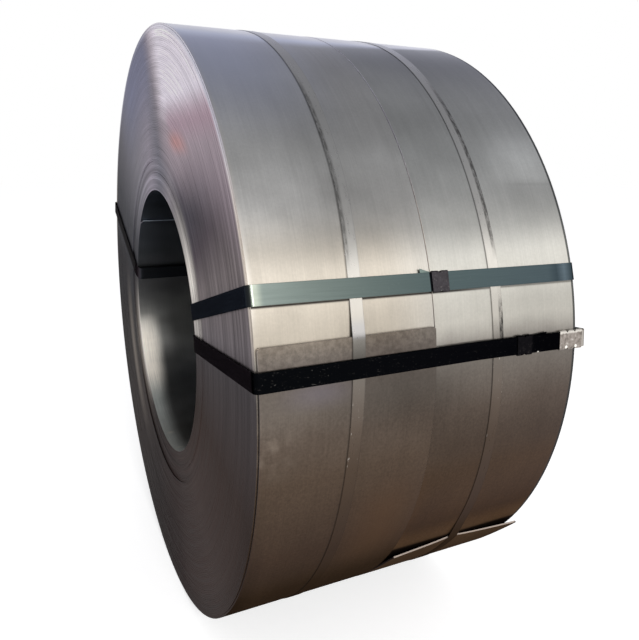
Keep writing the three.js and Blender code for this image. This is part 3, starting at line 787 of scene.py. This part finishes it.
def place_on_coil():
    """Where a point is on the coil: the point itself, its place along the axis, radius, angle in degrees and
    height, and its bearing from the axis as a unit vector."""
    (tree,) = open_group("place_on_coil")
    point = put("ShaderNodeTexCoord", "Object", {}, tree)
    along, y, height = (put("ShaderNodeSeparateXYZ", axis, {0: point}) for axis in "XYZ")
    forward, upward = AXIS_Y - y, height - AXIS_Z
    radius = length(0, forward, upward)
    angle = maths("DEGREES", maths("ARCTAN2", upward, forward))
    return close_group(tree, {"point": point, "along": along, "radius": radius, "angle": angle,
                              "height": height, "forward": forward / radius, "upward": upward / radius})


def mill_streaks():
    """Lines round the coil, from noise stretched along the rolling direction, and cloudy patches."""
    tree, along, forward, upward = open_group("mill_streaks", "along", "forward", "upward")
    outputs = {}
    for label, across, round_, detail in (("fine", 900, 5, 3), ("broad", 75, 1.6, 2), ("cloud", 9, 5, 3)):
        outputs[label] = noise(vector(across * along, round_ * forward, round_ * upward), 1, detail, 0.55)
    return close_group(tree, outputs)


def reflection_by_height():
    """Painted reflection on the steel by height: grey above with bright and dark bands, dark brown below."""
    tree, height = open_group("reflection_by_height", "height")
    stops = [(0, (48, 36, 26)), (0.2, (54, 41, 30)), (0.3, (65, 50, 38)), (0.44, (80, 67, 56)),
             (0.5, (91, 80, 71)), (0.595, (112, 107, 101)), (0.63, (188, 183, 174)),
             (0.72, (196, 193, 187)), (0.76, (180, 178, 174)), (0.81, (184, 183, 181)),
             (0.86, (196, 196, 195)), (1, (192, 192, 193))]
    return close_group(tree, {"colour": tone(height, 0, 1.1, stops)})


def band_edges():
    """How far a point lies past the left edge of each belly band, which drifts as the band itself does."""
    tree, along, angle = open_group("band_edges", "along", "angle")
    outputs = {}
    for label, facts in (("near", NEAR_COIL), ("far", FAR_COIL)):
        angles, millimetres = facts.drift
        drift = curve(angle, angles, [m * MM for m in millimetres], -20 * MM, 20 * MM)
        edge = NEAR_END + facts.start + facts.belly_place - BELLY_WIDTH / 2
        outputs[label] = along - (drift + edge)
    return close_group(tree, outputs)


PLACE, STREAKS, HEIGHT_REFLECTION, EDGES = place_on_coil(), mill_streaks(), reflection_by_height(), band_edges()


def streaks(at):
    """The mill streaks at a place on the coil."""
    return use(at.along.tree, STREAKS, along=at.along, forward=at.forward, upward=at.upward)


def reflected_colour(height):
    """The painted reflection by height, at a height."""
    return use(height.tree, HEIGHT_REFLECTION, height=height).colour


def new_material(name):
    """A material, its node tree, and the place of its points on the coil."""
    made = bpy.data.materials.new(name)
    made.use_nodes = True
    return made, made.node_tree, use(made.node_tree, PLACE)


def finished(made, colour, roughness, metallic, normal=None, specular=0.5, tint=(1, 1, 1, 1)):
    """The material, once the inputs of its Principled BSDF are fed."""
    shader = made.node_tree.nodes["Principled BSDF"].inputs
    feed(shader["Base Color"], colour)
    feed(shader["Roughness"], roughness)
    feed(shader["Metallic"], metallic)
    feed(shader["Specular IOR Level"], specular)
    feed(shader["Specular Tint"], tint)
    if normal:
        feed(shader["Normal"], normal)
    return made


# Tints of the reflections: of steel under dust, of dark paint and of the coils' ends
COOL_TINT, DARK_TINT, GREY_TINT = (0.85, 0.86, 1, 1), (0.12, 0.12, 0.12, 1), (0.45, 0.45, 0.45, 1)


def changed(colour, *changes):
    """A colour multiplied by 1 + share * mask for each (mask, share)."""
    light = 1
    for mask, share in changes:
        light = light * (1 + share * mask)
    return lighter(colour, light)


def stained(colour, *stains):
    """A colour with each (share, stain) mixed over it in turn."""
    for share, stain in stains:
        colour = mixed(share, colour, stain)
    return colour


# ---- The steel of the coils ----

# In the materials, places along the axis and heights are metres in the part's frame, angles are degrees
# round the coil, and colours are screen values from 0 to 255.


def grained(tree, at, streak, on_far, colour):
    """Streaks, clouds and grain, and the tail of the near sheet browner, mottled and painted darker as shade.
    """
    tail_start, tail_full = (NEAR_COIL.turns - degrees / 360 for degrees in (11, 2))
    tail = fade(attribute(tree, "turn"), tail_start, tail_full) * (1 - on_far)
    grain = (noise(at.point, 260, 3, 0.65) - 0.5) * highest(fade(at.height, 0.5, 0.62, 1, 0.3), tail)
    even = (0.87 + 0.26 * streak.fine) * (0.92 + 0.16 * streak.broad) * (0.82 + 0.36 * streak.cloud)
    # Painted shade: the tail of the near sheet darker, most towards the far coil.
    darker = 1 - tail * fade(at.along, -0.13, -0.1, 0.54, 0.69)
    colour = mixed(0.3 * tail, lighter(colour, even * (1 + 0.7 * grain) * darker), (118, 103, 94))
    mottle = fade(noise(at.point, 120, 4, 0.7), 0.35, 0.65, -0.5, 0.5)
    return changed(colour, (tail * mottle, 0.3))


def lit_and_shaded(at, on_far, colour):
    """Painted light and shade on the sheet: highlights, a shadow under the lower eye band and darker parts.
    """
    # A warmer tint over the cream highlight band of the painted reflection.
    creamy = fall(at.along, -0.1, 0.02) * between(at.height, 0.6, 0.63, 0.73, 0.8)
    colour = mixed(creamy, colour, (251, 245, 237), "MULTIPLY")
    colour = mixed(on_far * fade(at.height, 0.6, 0.64), colour, (253, 255, 255), "MULTIPLY")
    # A pale painted highlight on the far coil.
    from_pale = length(at.along - 0.21, 0.01 * (at.angle - 35), 0)
    pale = fall(from_pale, 0, 0.1) * fade(at.angle, 28.5, 31.5)
    # A thin darker line along the lower edge of that highlight.
    thin_dark_line = hump(at.angle, 29.9, 0.5) * fade(at.along, 0.14, 0.2)
    # Painted shadow under the lower eye band.
    shadow_under_band = hump(at.along, -0.062, 0.17) * hump(at.angle, -1.5, 9)
    # Painted shade on the far coil about its middle height.
    far_middle_shade = on_far * hump(at.height, 0.455, 0.13)
    # A painted highlight high on the near coil, towards its end.
    side = fade(at.height, 0.735, 0.775) * fade(at.height, 0.82, 0.88, 1, 0.8)
    side = side * fall(at.along, -0.27, -0.11)
    # Painted shade at the upper back, low by the near end and on the top of the far coil.
    shaded = fade(at.along, -0.15, 0.13) * between(at.angle, 46, 63, 100, 175)
    corner = fall(at.along, NEAR_END, -0.235) * fall(at.height, 0.2, 0.5)
    upper_far = on_far * fade(at.height, 0.68, 0.72)
    return changed(colour, (pale, 0.45), (thin_dark_line, -0.08), (shadow_under_band, -0.42), (far_middle_shade, -0.22), (side, 0.36),
                   (shaded, -0.45), (corner, -0.3), (upper_far, -0.08))


def rust_scuffs_and_sheen(at, colour):
    """A rust stain low on the near coil, a painted grey sheen just under the lower eye band, and scuffs
    beside the near end.
    """
    rust = hump(at.along, -0.065, 0.09) * between(at.height, 0.2, 0.3, 0.34, 0.44)
    # Painted sheen just under the lower eye band, on the near coil.
    grey = hump(at.height, 0.562, 0.03) * hump(at.along, -0.19, 0.07)
    by_end = fall(at.along, NEAR_END + 10 * MM, NEAR_END + 70 * MM) * hump(at.height, 0.5, 0.065)
    scuffed = by_end * fade(noise(at.point, 40, 2.5, 0.6), 0.4, 0.7)
    return stained(colour, (0.45 * rust, (88, 64, 42)), (0.45 * grey, (108, 102, 110)),
                   (0.4 * scuffed, (138, 126, 114)))


def by_far_tail(at, on_far, colour):
    """Painted light and shade at the tail of the far sheet: the tail and the steel above it painted lighter,
    a painted shadow in the gap behind the tail, and the sheet round them browner."""
    past_tip = at.angle - FAR_COIL.tail
    standing_off = fade(at.radius, OUTER - 2 * MM, OUTER - 1 * MM)
    # Painted light on the lifted tail and on the steel just above it.
    above = on_far * between(past_tip, 0, 0.8, 2, 8)
    tail = on_far * between(past_tip, -29, -9, 0, 0.1) * standing_off
    colour = lighter(colour, 1 + 0.9 * above + 0.9 * tail)
    # Painted shadow in the gap behind the tail.
    gap = on_far * fade(past_tip, -5, -3) * fade(past_tip, 0, 1.4, 0.85, 0) * (1 - standing_off)
    browner = on_far * between(at.height, 0.2, 0.27, 0.38, 0.44)
    return mixed(browner, mixed(gap, colour, (16, 13, 12)), (255, 244, 224), "MULTIPLY")


def sheen(at, colour):
    """Painted reflections: a cool sheen high on the near side, a bright crest line and a pale near rim."""
    cool = fall(at.along, -0.24, -0.04) * fade(at.height, 0.86, 1)
    line = 1.036 + highest(0.0051 + 0.1 * at.along, 0)
    crest = fade((at.height - line) * fade(at.along, 0, 0.2, 1, 2.4), 0, 0.02)
    white = mixed(fade(at.height, 1.05, 1.07), (232, 238, 255), (255, 255, 255))
    lip = fall(at.along, NEAR_END, NEAR_END + 9 * MM) * fade(at.height, 0.63, 0.7)
    return stained(colour, (0.66 * cool, (200, 208, 238)), (crest, white),
                   (lip * fade(at.height, 0.8, 1, 0.5, 0.2), (232, 227, 220)))


def dark_seam_and_band_shadows(tree, at, colour):
    """A dark line in the seam, painted shadows along the left edges of the belly bands and under the upper
    eye band, and the far rim darker."""
    past = use(tree, EDGES, along=at.along, angle=at.angle)
    dark_lines = 0.9 * hump(at.along, NEAR_END + SLIT_WIDTH + SEAM_GAP / 2, 1.2 * MM)
    # Painted shadow along the left edge of each belly band.
    for edge in (past.near, past.far):
        dark_lines = highest(dark_lines, 0.55 * hump(edge, -0.8 * MM, 1.8 * MM))
    # Painted shadow under the upper eye band.
    below_band = hump(at.angle + 1.12 * at.along, 13.42, 0.34)
    dark_lines = highest(dark_lines, below_band * fade(at.along, 0.02, 0.12, 1.25, 0.8))
    # A darker band along the far rim.
    rubbed = fade(at.along, FAR_END - 5.4 * MM, FAR_END - 4.4 * MM)
    return stained(colour, (0.8 * dark_lines, (40, 37, 35)), (0.85 * rubbed, (46, 48, 48)))


def rolled_steel():
    """Mill finish with its streaks and stains, under painted reflection, light, shade and shadows."""
    made, tree, at = new_material("rolled_steel")
    streak = streaks(at)
    on_far = fade(at.along, NEAR_END + SLIT_WIDTH, NEAR_END + FAR_START)
    shift = 0.02 * streak.cloud - 0.01 + on_far * fade(at.height, 0.6, 0.65, 0.004, -0.004)
    colour = grained(tree, at, streak, on_far, reflected_colour(at.height + shift))
    colour = rust_scuffs_and_sheen(at, lit_and_shaded(at, on_far, colour))
    colour = sheen(at, by_far_tail(at, on_far, colour))
    return finished(made, dark_seam_and_band_shadows(tree, at, colour), 0.24 + 0.16 * streak.cloud, fade(at.height, 0.2, 0.66),
                    bump(streak.fine, 0.1, 0.1 * MM), specular=0, tint=COOL_TINT)


def end_sheen(at, out, colour):
    """Painted reflection on the end faces: darker low at the back, cool at the top, and over the upper front
    mauve, white, pink and warm. Out is 0 at the bore and 1 at the rim."""
    low_back = highest(fade(at.angle, 160, 172), fall(at.angle, -88, -70))
    colour = mixed(low_back * between(out, 0.3, 0.6, 0.9, 0.97), colour, (214, 206, 206), "MULTIPLY")
    front = at.angle - 20 * out
    cool = fade(out, 0.3, 0.85) * between(at.angle, 84, 96, 112, 138)
    mauve = fade(at.angle - 38 + 38 * out, 12, 38) * fall(front, 63, 80) * fade(out, 0.14, 0.38)
    white = fade(at.height, 0.91, 0.97) * fall(front, 62, 75)
    pink = hump(at.height, 0.918, 0.045) * fade(out, 0.4, 0.5) * fall(front, 58, 66)
    warm = hump(at.height, 0.886, 0.028) * hump(out, 0.45, 0.15) * fall(front, 55, 66)
    return stained(colour, (0.8 * cool, (128, 131, 157)), (0.86 * mauve, (192, 177, 186)),
                   (0.97 * white, (251, 244, 255)), (0.28 * pink, (212, 166, 188)),
                   (0.42 * warm, (232, 152, 136)))


def painted_light_on_turns(at, out, behind, colour):
    """Painted light and shade on the end faces: pale turns low at the back, bright ones near the bore and at
    the rim, and darker ones above the bore and at both edges of the lower front."""
    patch = behind * highest(fade(out, 0.12, 0.22, 0.7, 0), 0.5 * hump(out, 0.42, 0.15))
    arc = curve(at.angle, (0, 7, 18, 24, 32, 45, 60, 78), (0, 0.5, 0.62, 0.95, 0.82, 0.46, 0.12, 0))
    arc = arc * fade(out, 0, 0.05, 0.8, 1) * fall(out, 0.08, 0.19)
    near_bore = highest(arc, fade(out, 0.01, 0.1, 0.8, 0) * behind)
    rim = curve(at.angle, (0, 14, 26, 72, 90, 108, 122, 152, 180),
                (0.7, 0.72, 0.9, 0.9, 0.35, 0.15, 0.5, 0.7, 0.4))
    rim = rim * fade(out, 0.952, 0.972) * fade(at.height, 0.55, 0.7)
    rim_colour = mixed(fade(at.height, 0.74, 0.92), (236, 225, 212), (228, 227, 238))
    colour = stained(colour, (patch, (156, 146, 137)), (0.88 * near_bore, (244, 238, 230)),
                     (0.88 * rim, rim_colour))
    above_bore = hump(out, 0.15, 0.06) * between(at.angle, 84, 98, 150, 162)
    lower = fall(at.angle, -22, -4)
    outmost = lower * fade(out, 0.8, 1)
    inmost = lower * fade(at.angle, -70, -50) * fall(out, 0.04, 0.14)
    return changed(colour, (above_bore, -0.2), (outmost, -0.22), (inmost, -0.2))


def slit_edges():
    """The end faces: one edge of the sheet for each turn, tones that change from turn to turn, and painted
    reflection round the face.
    """
    made, tree, at = new_material("slit_edges")
    out = (at.radius - BORE) / WALL
    # Painted reflection: the end faces' tone round the coil, light over the upper front, dark at the back.
    stops = [(-180, (50, 49, 52)), (-160, (60, 57, 56)), (-135, (60, 52, 50)), (-110, (46, 38, 37)),
             (-80, (54, 42, 40)), (-50, (73, 61, 58)), (-20, (62, 52, 49)), (2, (72, 68, 70)),
             (8, (108, 102, 105)), (20, (120, 112, 113)), (30, (90, 82, 88)), (40, (84, 80, 88)),
             (50, (88, 84, 92)), (66, (140, 134, 142)), (82, (132, 130, 141)), (97, (160, 153, 165)),
             (120, (136, 133, 141)), (150, (75, 75, 80)), (170, (51, 50, 54))]
    behind = highest(hump(at.angle, -157, 38), hump(at.angle, 203, 38))
    colour = painted_light_on_turns(at, out, behind, end_sheen(at, out, tone(at.angle, -180, 180, stops)))
    bands = noise(vector(260 * at.radius, 3 * at.forward, 3 * at.upward), 1, 4, 0.7)
    lines = noise(vector(120 * at.radius, 1.2 * at.forward, 1.2 * at.upward), 1, 3, 0.6)
    lined = highest(hump(at.angle, 14, 34), 0.6 * behind)
    each_turn = noise(1.73 * attribute(tree, "turn"), 1, 1, 0.5)
    even = (0.65 + 0.7 * bands) * (1 + (lines - 0.5) * (0.3 + 1.5 * lined))
    even = even * (1 + (each_turn - 0.5) * fade(out, 0.14, 0.3, 1.3, 0.16))
    return finished(made, lighter(colour, even), 0.3 + 0.3 * bands, 1, tint=GREY_TINT)


def sheared_steel():
    """The cut ends of the sheet: bright steel with a painted highlight, and the fine upright lines of the
    shear.
    """
    made, _, at = new_material("sheared_steel")
    lines = noise(1400 * at.along, 1, 2, 0.6)
    colour = tone(at.height, 0, 1.1, [(0.2, (206, 190, 178)), (0.5, (216, 206, 196)),
                                      (0.64, (190, 180, 170)), (0.7, (188, 198, 210))])
    return finished(made, lighter(colour, 0.85 + 0.3 * lines), 0.35 + 0.2 * lines, 0.3)


def bore_steel():
    """The inside of the first turn: the mill finish, with painted shade darker towards the top and a painted
    patch of light low at the back by the mouth, rougher and less metallic there.
    """
    made, _, at = new_material("bore_steel")
    streak = streaks(at)
    # Painted shade: darker towards the top of the bore.
    stops = [(0.29, (150, 148, 145)), (0.37, (126, 125, 122)), (0.44, (148, 147, 143)),
             (0.52, (120, 120, 118)), (0.58, (102, 102, 103)), (0.66, (80, 83, 88)), (0.71, (84, 88, 96)),
             (0.8, (68, 76, 88))]
    # A painted patch of light low at the back, near the mouth.
    patch = curve(at.angle, (-180, -172, -164, -157, -142, -134, -124, -114, -96, -80, -45),
                  (0, 0.06, 0.55, 1, 1, 0.7, 0.5, 0.4, 0.34, 0.34, 0))
    inward = at.along + fade(at.angle, -144, -118, 0.004, 0.012)
    lit_patch = patch * fall(inward, -0.2535, -0.2185) * (0.62 + 0.7 * streak.fine)
    cream = mixed(fall(at.angle, -140, -122), (236, 244, 238), (255, 247, 234))
    # A thin bright line low in the mouth of the bore.
    thin_bright_line = hump(at.height, 0.2965, 0.0012) * hump(at.along, -0.2595, 0.011)
    colour = stained(tone(at.height, 0.25, 0.85, stops), (lit_patch, cream), (0.8 * thin_bright_line, (210, 206, 196)))
    return finished(made, lighter(colour, (0.85 + 0.3 * streak.fine) * (0.8 + 0.4 * streak.cloud)),
                    0.26 + 0.16 * streak.cloud + 0.3 * lit_patch, 1 - 0.7 * lit_patch,
                    bump(streak.fine, 0.12, 0.1 * MM), specular=0.2)


# ---- The strapping and the seals ----


def bare_strapping():
    """Bare narrow strapping under the same painted reflection as the coil, scuffed, with dark smears and
    painted shade along an edge by the eye bands: the left edge of the near band and the right one of the
    far band. The near band has painted shade, and then a greyer painted reflection, just above the lower
    eye band."""
    made, tree, at = new_material("bare_strapping")
    across = attribute(tree, "across")
    even = (0.84 + 0.4 * streaks(at).cloud) * fade(abs(across), 8 * MM, 9.2 * MM, 1, 0.8)
    colour = lighter(reflected_colour(at.height - 0.003), even * fade(at.height, 0.46, 0.56, 0.9, 1))
    grain = noise(vector(260 * at.along, 36 * at.forward, 36 * at.upward), 1, 4, 0.7)
    to_far = fade(at.along, -0.02, 0)
    edge = mixed(to_far, fall(across, -6 * MM, -2 * MM), fade(across, 1 * MM, 4 * MM))
    above = between(at.angle, 17, 22, 44, 56)
    below = between(at.angle, 3.5, 5, 13.4, 13.8) * fade(at.angle, 8, 13.4, 1.3, 0.1) * to_far
    # Dark smears along an edge, partly painted shade.
    smear_and_shade = edge * highest(above, below) * fade(grain, 0.35, 0.6, 0.3, 1) * (0.66 + 0.14 * to_far)
    # Painted shade on the near band just above the lower eye band.
    shade_above_lower_band = between(at.angle, 3, 5.5, 8.2, 8.8) * (1 - to_far)
    # A greyer painted reflection on the near band above that.
    grey = between(at.angle, 7.8, 8.8, 9.6, 11.4) * (1 - to_far)
    scuffs = fade(grain, 0.62, 0.72) * fade(at.height, 0.42, 0.46) * fade(at.height, 0.58, 0.63, 1, 0.3)
    colour = stained(changed(colour, (shade_above_lower_band, -0.5)), (0.5 * grey, (166, 166, 172)), (smear_and_shade, (50, 48, 46)),
                     (0.6 * scuffs, (190, 184, 176)))
    return finished(made, colour, 0.2 + 0.2 * grain, fade(at.height, 0.2, 0.66), specular=0, tint=COOL_TINT)


def painted_strapping(name, stops, on_end, in_bore, rubbed, wear, marks=(), tip=False):
    """Painted strapping: a thin glossy coat whose tone along the coil is painted reflection, with other tones
    painted for the shade on the ends and in the bore, faint lengthwise lines, scratches and rubbed specks.
    Marks are (place along, reach, side, colour), where side 0 is the whole width. With a tip, the bend past
    the far end has zinc over it."""
    made, tree, at = new_material(name)
    across = attribute(tree, "across")
    lines = noise(vector(14 * at.along, 14 * at.radius, 500 * across), 1, 3, 0.6)
    specks = noise(vector(300 * at.along, 300 * at.radius, 420 * across), 1, 3, 0.7)
    slanted = vector(60 * at.along + 40 * across, 60 * at.radius, 900 * across + 190 * at.along)
    inside = fall(at.radius, OUTER - 11 * MM, OUTER - 3 * MM)
    # Tones painted for the shade where the band lies on the ends and in the bore.
    shade_on_ends_and_bore = [(-0.2745, on_end), (-0.2685, in_bore), (0.2515, in_bore), (0.2575, on_end)]
    colour = mixed(inside, tone(at.along, -0.29, 0.29, stops), tone(at.along, -0.29, 0.29, shade_on_ends_and_bore))
    worn = highest(wear * fade(specks, 0.64, 0.72), 1.6 * wear * fade(noise(slanted, 1, 2, 0.5), 0.7, 0.76))
    colour = mixed(worn * (1 - inside), lighter(colour, 0.85 + 0.3 * lines), rubbed)
    for middle, reach, side, shade in marks:
        mark = fall(abs(at.along - middle), 0.7 * reach, reach)
        if side:
            mark = mark * fade(side * across, 11 * MM, 13 * MM)
        colour = mixed(mark, colour, shade)
    if tip:
        folded = fade(at.along, FAR_END + 8.5 * MM, FAR_END + 9 * MM)
        colour = mixed(folded * fade(at.radius, OUTER - 9 * MM, OUTER - 7 * MM), colour, (176, 170, 163))
    return finished(made, colour, 0.28 + 0.16 * lines, 1, bump(lines, 0.06, 0.2 * MM), tint=DARK_TINT)


def zinc_plate():
    """Zinc: pale grey and mottled, with a painted highlight in a jagged band along the top edge and two
    painted highlight spots.
    """
    made, _, at = new_material("zinc_seal")
    mottle = noise(vector(at.along, 0.5 * at.forward, 0.5 * at.upward), 170, 3, 0.6)
    stops = [(0.3, (104, 96, 89)), (0.45, (140, 131, 123)), (0.6, (156, 147, 140)), (0.75, (206, 200, 192))]
    # Painted highlight along the top edge.
    top = fade(at.height + 0.004 * mottle, 0.5945, 0.5965)
    colour = mixed(0.8 * top, tone(mottle, 0.3, 0.75, stops), (226, 221, 212))
    # Two painted highlight spots.
    for spot in (0.2341, 0.254):
        away = length(at.along - spot, 0, at.height - 0.5722)
        colour = mixed(fall(away, 1.6 * MM, 3.2 * MM), colour, (255, 252, 244))
    return finished(made, colour, 0.2 + 0.4 * mottle, 0.7, bump(mottle, 0.25, 0.3 * MM))


def painted_seal():
    """Black seals, greyed and mottled, the one on the upper band most, with rubbed spots."""
    made, _, at = new_material("painted_seal")
    mottle = noise(at.point, 190, 3, 0.6)
    colour = tone(at.along, -0.1, 0.2, [(0.02, (63, 60, 63)), (0.1, (22, 21, 23))])
    spots = fade(noise(at.point, 320, 2, 0.6), 0.6, 0.7) * fade(at.along, 0.02, 0.1, 0.3, 0.12)
    return finished(made, mixed(spots, lighter(colour, 0.35 + 1.3 * mottle), (128, 122, 120)),
                    0.25 + 0.4 * mottle, 1, bump(mottle, 0.2, 0.3 * MM), tint=DARK_TINT)


coil_finishes = [rolled_steel(), slit_edges(), sheared_steel(), bore_steel()]
bare = bare_strapping()
seal_left = NEAR_END + UPPER_JOINT.place - UPPER_JOINT.length / 2
end_seal = NEAR_END + END_JOINT.place
green_coat = {"on_end": (62, 66, 74), "in_bore": (34, 38, 42), "rubbed": (168, 172, 168), "wear": 0.06}
# The green band's tone along the coil is painted reflection, with a painted highlight on its near bend.
green = painted_strapping(
    "green_strapping",
    [(-0.2775, (30, 33, 37)), (-0.2742, (40, 43, 43)), (-0.2722, (112, 117, 109)),
     (-0.2695, (152, 158, 146)), (-0.2655, (152, 159, 148)), (-0.2575, (116, 126, 121)),
     (-0.2, (104, 114, 110)), (-0.1, (86, 97, 95)), (0, (74, 87, 88)), (0.205, (70, 82, 87)),
     (0.222, (58, 69, 75)), (0.238, (88, 101, 109)), (0.25, (62, 73, 79)), (0.2585, (34, 40, 45))],
    # The first mark is a painted shadow beside the seal's left end, the second painted shade in its upper
    # notch.
    marks=[(seal_left - 1.6 * MM, 2.2 * MM, 0, (14, 15, 18)),
           (seal_left + 15 * MM, 3.2 * MM, 1, (10, 10, 12)),
           (seal_left + 15 * MM, 3.2 * MM, -1, (128, 132, 128))],
    **green_coat,
)
end_stops = [(-0.05, (128, 142, 136)), (-0.012, (104, 118, 114)), (0, (50, 58, 58))]
green_end = painted_strapping("green_strap_end", end_stops, **green_coat)
black = painted_strapping(
    "black_strapping", [(-0.272, (7, 8, 10)), (0.25, (9, 9, 12))],
    on_end=(60, 55, 59), in_bore=(40, 42, 46), rubbed=(120, 116, 112), wear=0.22, tip=True,
    # The first two marks are painted highlights on the lower edge by the end seal.
    marks=[(end_seal - 7.5 * MM, 3.2 * MM, -1, (226, 220, 208)),
           (end_seal + 7.5 * MM, 3.2 * MM, -1, (226, 220, 208)),
           (0.177, 1.9 * MM, -1, (214, 210, 202)), (0.144, 1.3 * MM, -1, (120, 112, 106))],
)
seal_steel = painted_seal()
zinc = zinc_plate()

# ---- The pieces ----

near = slit_coil("near_slit_coil", NEAR_COIL, seed=11, materials=coil_finishes)
far = slit_coil("far_slit_coil", FAR_COIL, seed=23, materials=coil_finishes)
near_belly = belly_strap("near_belly_strap", NEAR_COIL, bare)
far_belly = belly_strap("far_belly_strap", FAR_COIL, bare)
upper = eye_strap("upper_eye_strap", UPPER_BAND, [green, green_end])
lower = eye_strap("lower_eye_strap", LOWER_BAND, [black, black])
back = eye_strap("back_eye_strap", BACK_BAND, [black, black])

for made, node, slot in (
    (near, "slit_coil_near", "coil_steel"),
    (far, "slit_coil_far", "coil_steel"),
    (near_belly, "belly_strap_near", "bare_strap"),
    (far_belly, "belly_strap_far", "bare_strap"),
    (upper, "eye_strap_upper", "green_strap"),
    (lower, "eye_strap_lower", "black_strap"),
    (back, "eye_strap_back", "black_strap"),
):
    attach(made, "root")
    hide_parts(node)

for node, material in (
    ("belly_seal_near", bare),
    ("belly_seal_far", bare),
    ("eye_seal_upper", seal_steel),
    ("eye_seal_inner", seal_steel),
    ("eye_seal_end", zinc),
    ("eye_seal_back", black),
):
    nodes[node].data.materials.clear()
    nodes[node].data.materials.append(material)
    nodes[node].modifiers.new("joined_faces", "WELD").merge_threshold = 0.01 * MM
    softened = nodes[node].modifiers.new("softened_edges", "BEVEL")
    softened.width, softened.segments, softened.angle_limit = 0.22 * MM, 2, math.radians(40)

# ---- Floor, world and lights ----


def seen_directly(tree):
    """1 for the camera, and for what shows in metal and glass."""
    rays = ("Is Camera Ray", "Is Glossy Ray", "Is Transmission Ray")
    camera, glossy, through = (put("ShaderNodeLightPath", ray, {}, tree) for ray in rays)
    return highest(highest(camera, glossy), through)


def studio_floor():
    """A wide disc, pale, that keeps the shadow and shows as white where light reaches it."""
    rings = np.array([1, 2, 4, 8, 16, 40])
    turn = np.radians(np.arange(0, 360, 7.5))
    out = rings[:, None]
    points = np.stack([out * np.cos(turn), out * np.sin(turn), 0 * out * turn], axis=-1)
    shell = Shell()
    numbers = shell.add_points(points)
    shell.add_faces(grid_quads(numbers, loop_columns=True))
    shell.add_faces(numbers[0][None], 0, True)
    made, tree, at = new_material("pale_floor")
    paper = tone(noise(at.point, 60, 4), 0, 1, [(0.2, (228, 228, 228)), (0.8, (234, 234, 234))])
    shader = tree.nodes["Principled BSDF"].inputs
    feed(shader["Emission Color"], (1, 1, 1, 1))
    feed(shader["Emission Strength"], 0.6 * seen_directly(tree))
    floor = shell.piece("studio_floor", [finished(made, paper, 0.9, 0, specular=0)])


studio_floor()


def softbox(name, target, azimuth, elevation, distance, size, watts, colour=(1, 1, 1)):
    """A rectangular area lamp that looks at a point. Azimuth 0 is from the front and 90 from +X."""
    lamp = bpy.data.lights.new(name, "AREA")
    lamp.shape = "RECTANGLE"
    lamp.size, lamp.size_y = size
    lamp.energy = watts
    lamp.color = colour
    made = bpy.data.objects.new(name, lamp)
    bpy.context.scene.collection.objects.link(made)
    a, e = math.radians(azimuth), math.radians(elevation)
    direction = Vector((math.sin(a) * math.cos(e), -math.cos(a) * math.cos(e), math.sin(e)))
    made.location = Vector(target) + direction * distance
    made.rotation_euler = direction.to_track_quat("Z", "Y").to_euler()
    return made


middle = (0, 0, 0.6)
softbox("side_light", middle, azimuth=40, elevation=18, distance=4, size=(3.6, 0.8), watts=8,
        colour=(1, 0.97, 0.92))
softbox("key_light", middle, azimuth=-6, elevation=24, distance=6, size=(1.2, 1.2), watts=170)


def studio_world():
    """White from the floor up to the top of the walls, and a grey ceiling. Rays that only carry light to
    matt surfaces find an even level instead."""
    world = bpy.data.worlds.new("studio")
    bpy.context.scene.world = world
    world.use_nodes = True
    tree = world.node_tree
    up = put("ShaderNodeSeparateXYZ", "Z", {0: put("ShaderNodeTexCoord", "Generated", {}, tree)})
    stops = [(0, (255, 255, 255)), (0.38, (255, 255, 255)), (0.5, (216, 216, 217)),
             (0.58, (190, 190, 191)), (0.66, (174, 174, 175)), (0.75, (162, 162, 163)),
             (0.86, (151, 151, 152)), (1, (143, 143, 145))]
    levels = {0: seen_directly(tree), 6: (0.5, 0.5, 0.51, 1), 7: tone(up, 0, 1, stops)}
    feed(tree.nodes["Background"].inputs["Color"], put("ShaderNodeMix", 2, levels, data_type="RGBA"))


studio_world()

# ---- Camera ----

camera = bpy.data.cameras.new("camera")
camera.lens = 36.024
camera.sensor_width = 36
camera.shift_x = -0.00479
camera.shift_y = -0.03106
viewer = bpy.data.objects.new("camera", camera)
bpy.context.scene.collection.objects.link(viewer)
viewer.location = (-525.26 * MM, -1248.79 * MM, 840.41 * MM)
viewer.rotation_euler = (math.radians(78.602), 0, math.radians(-25.794))
bpy.context.scene.camera = viewer
bpy.context.scene.view_settings.view_transform = "Standard"
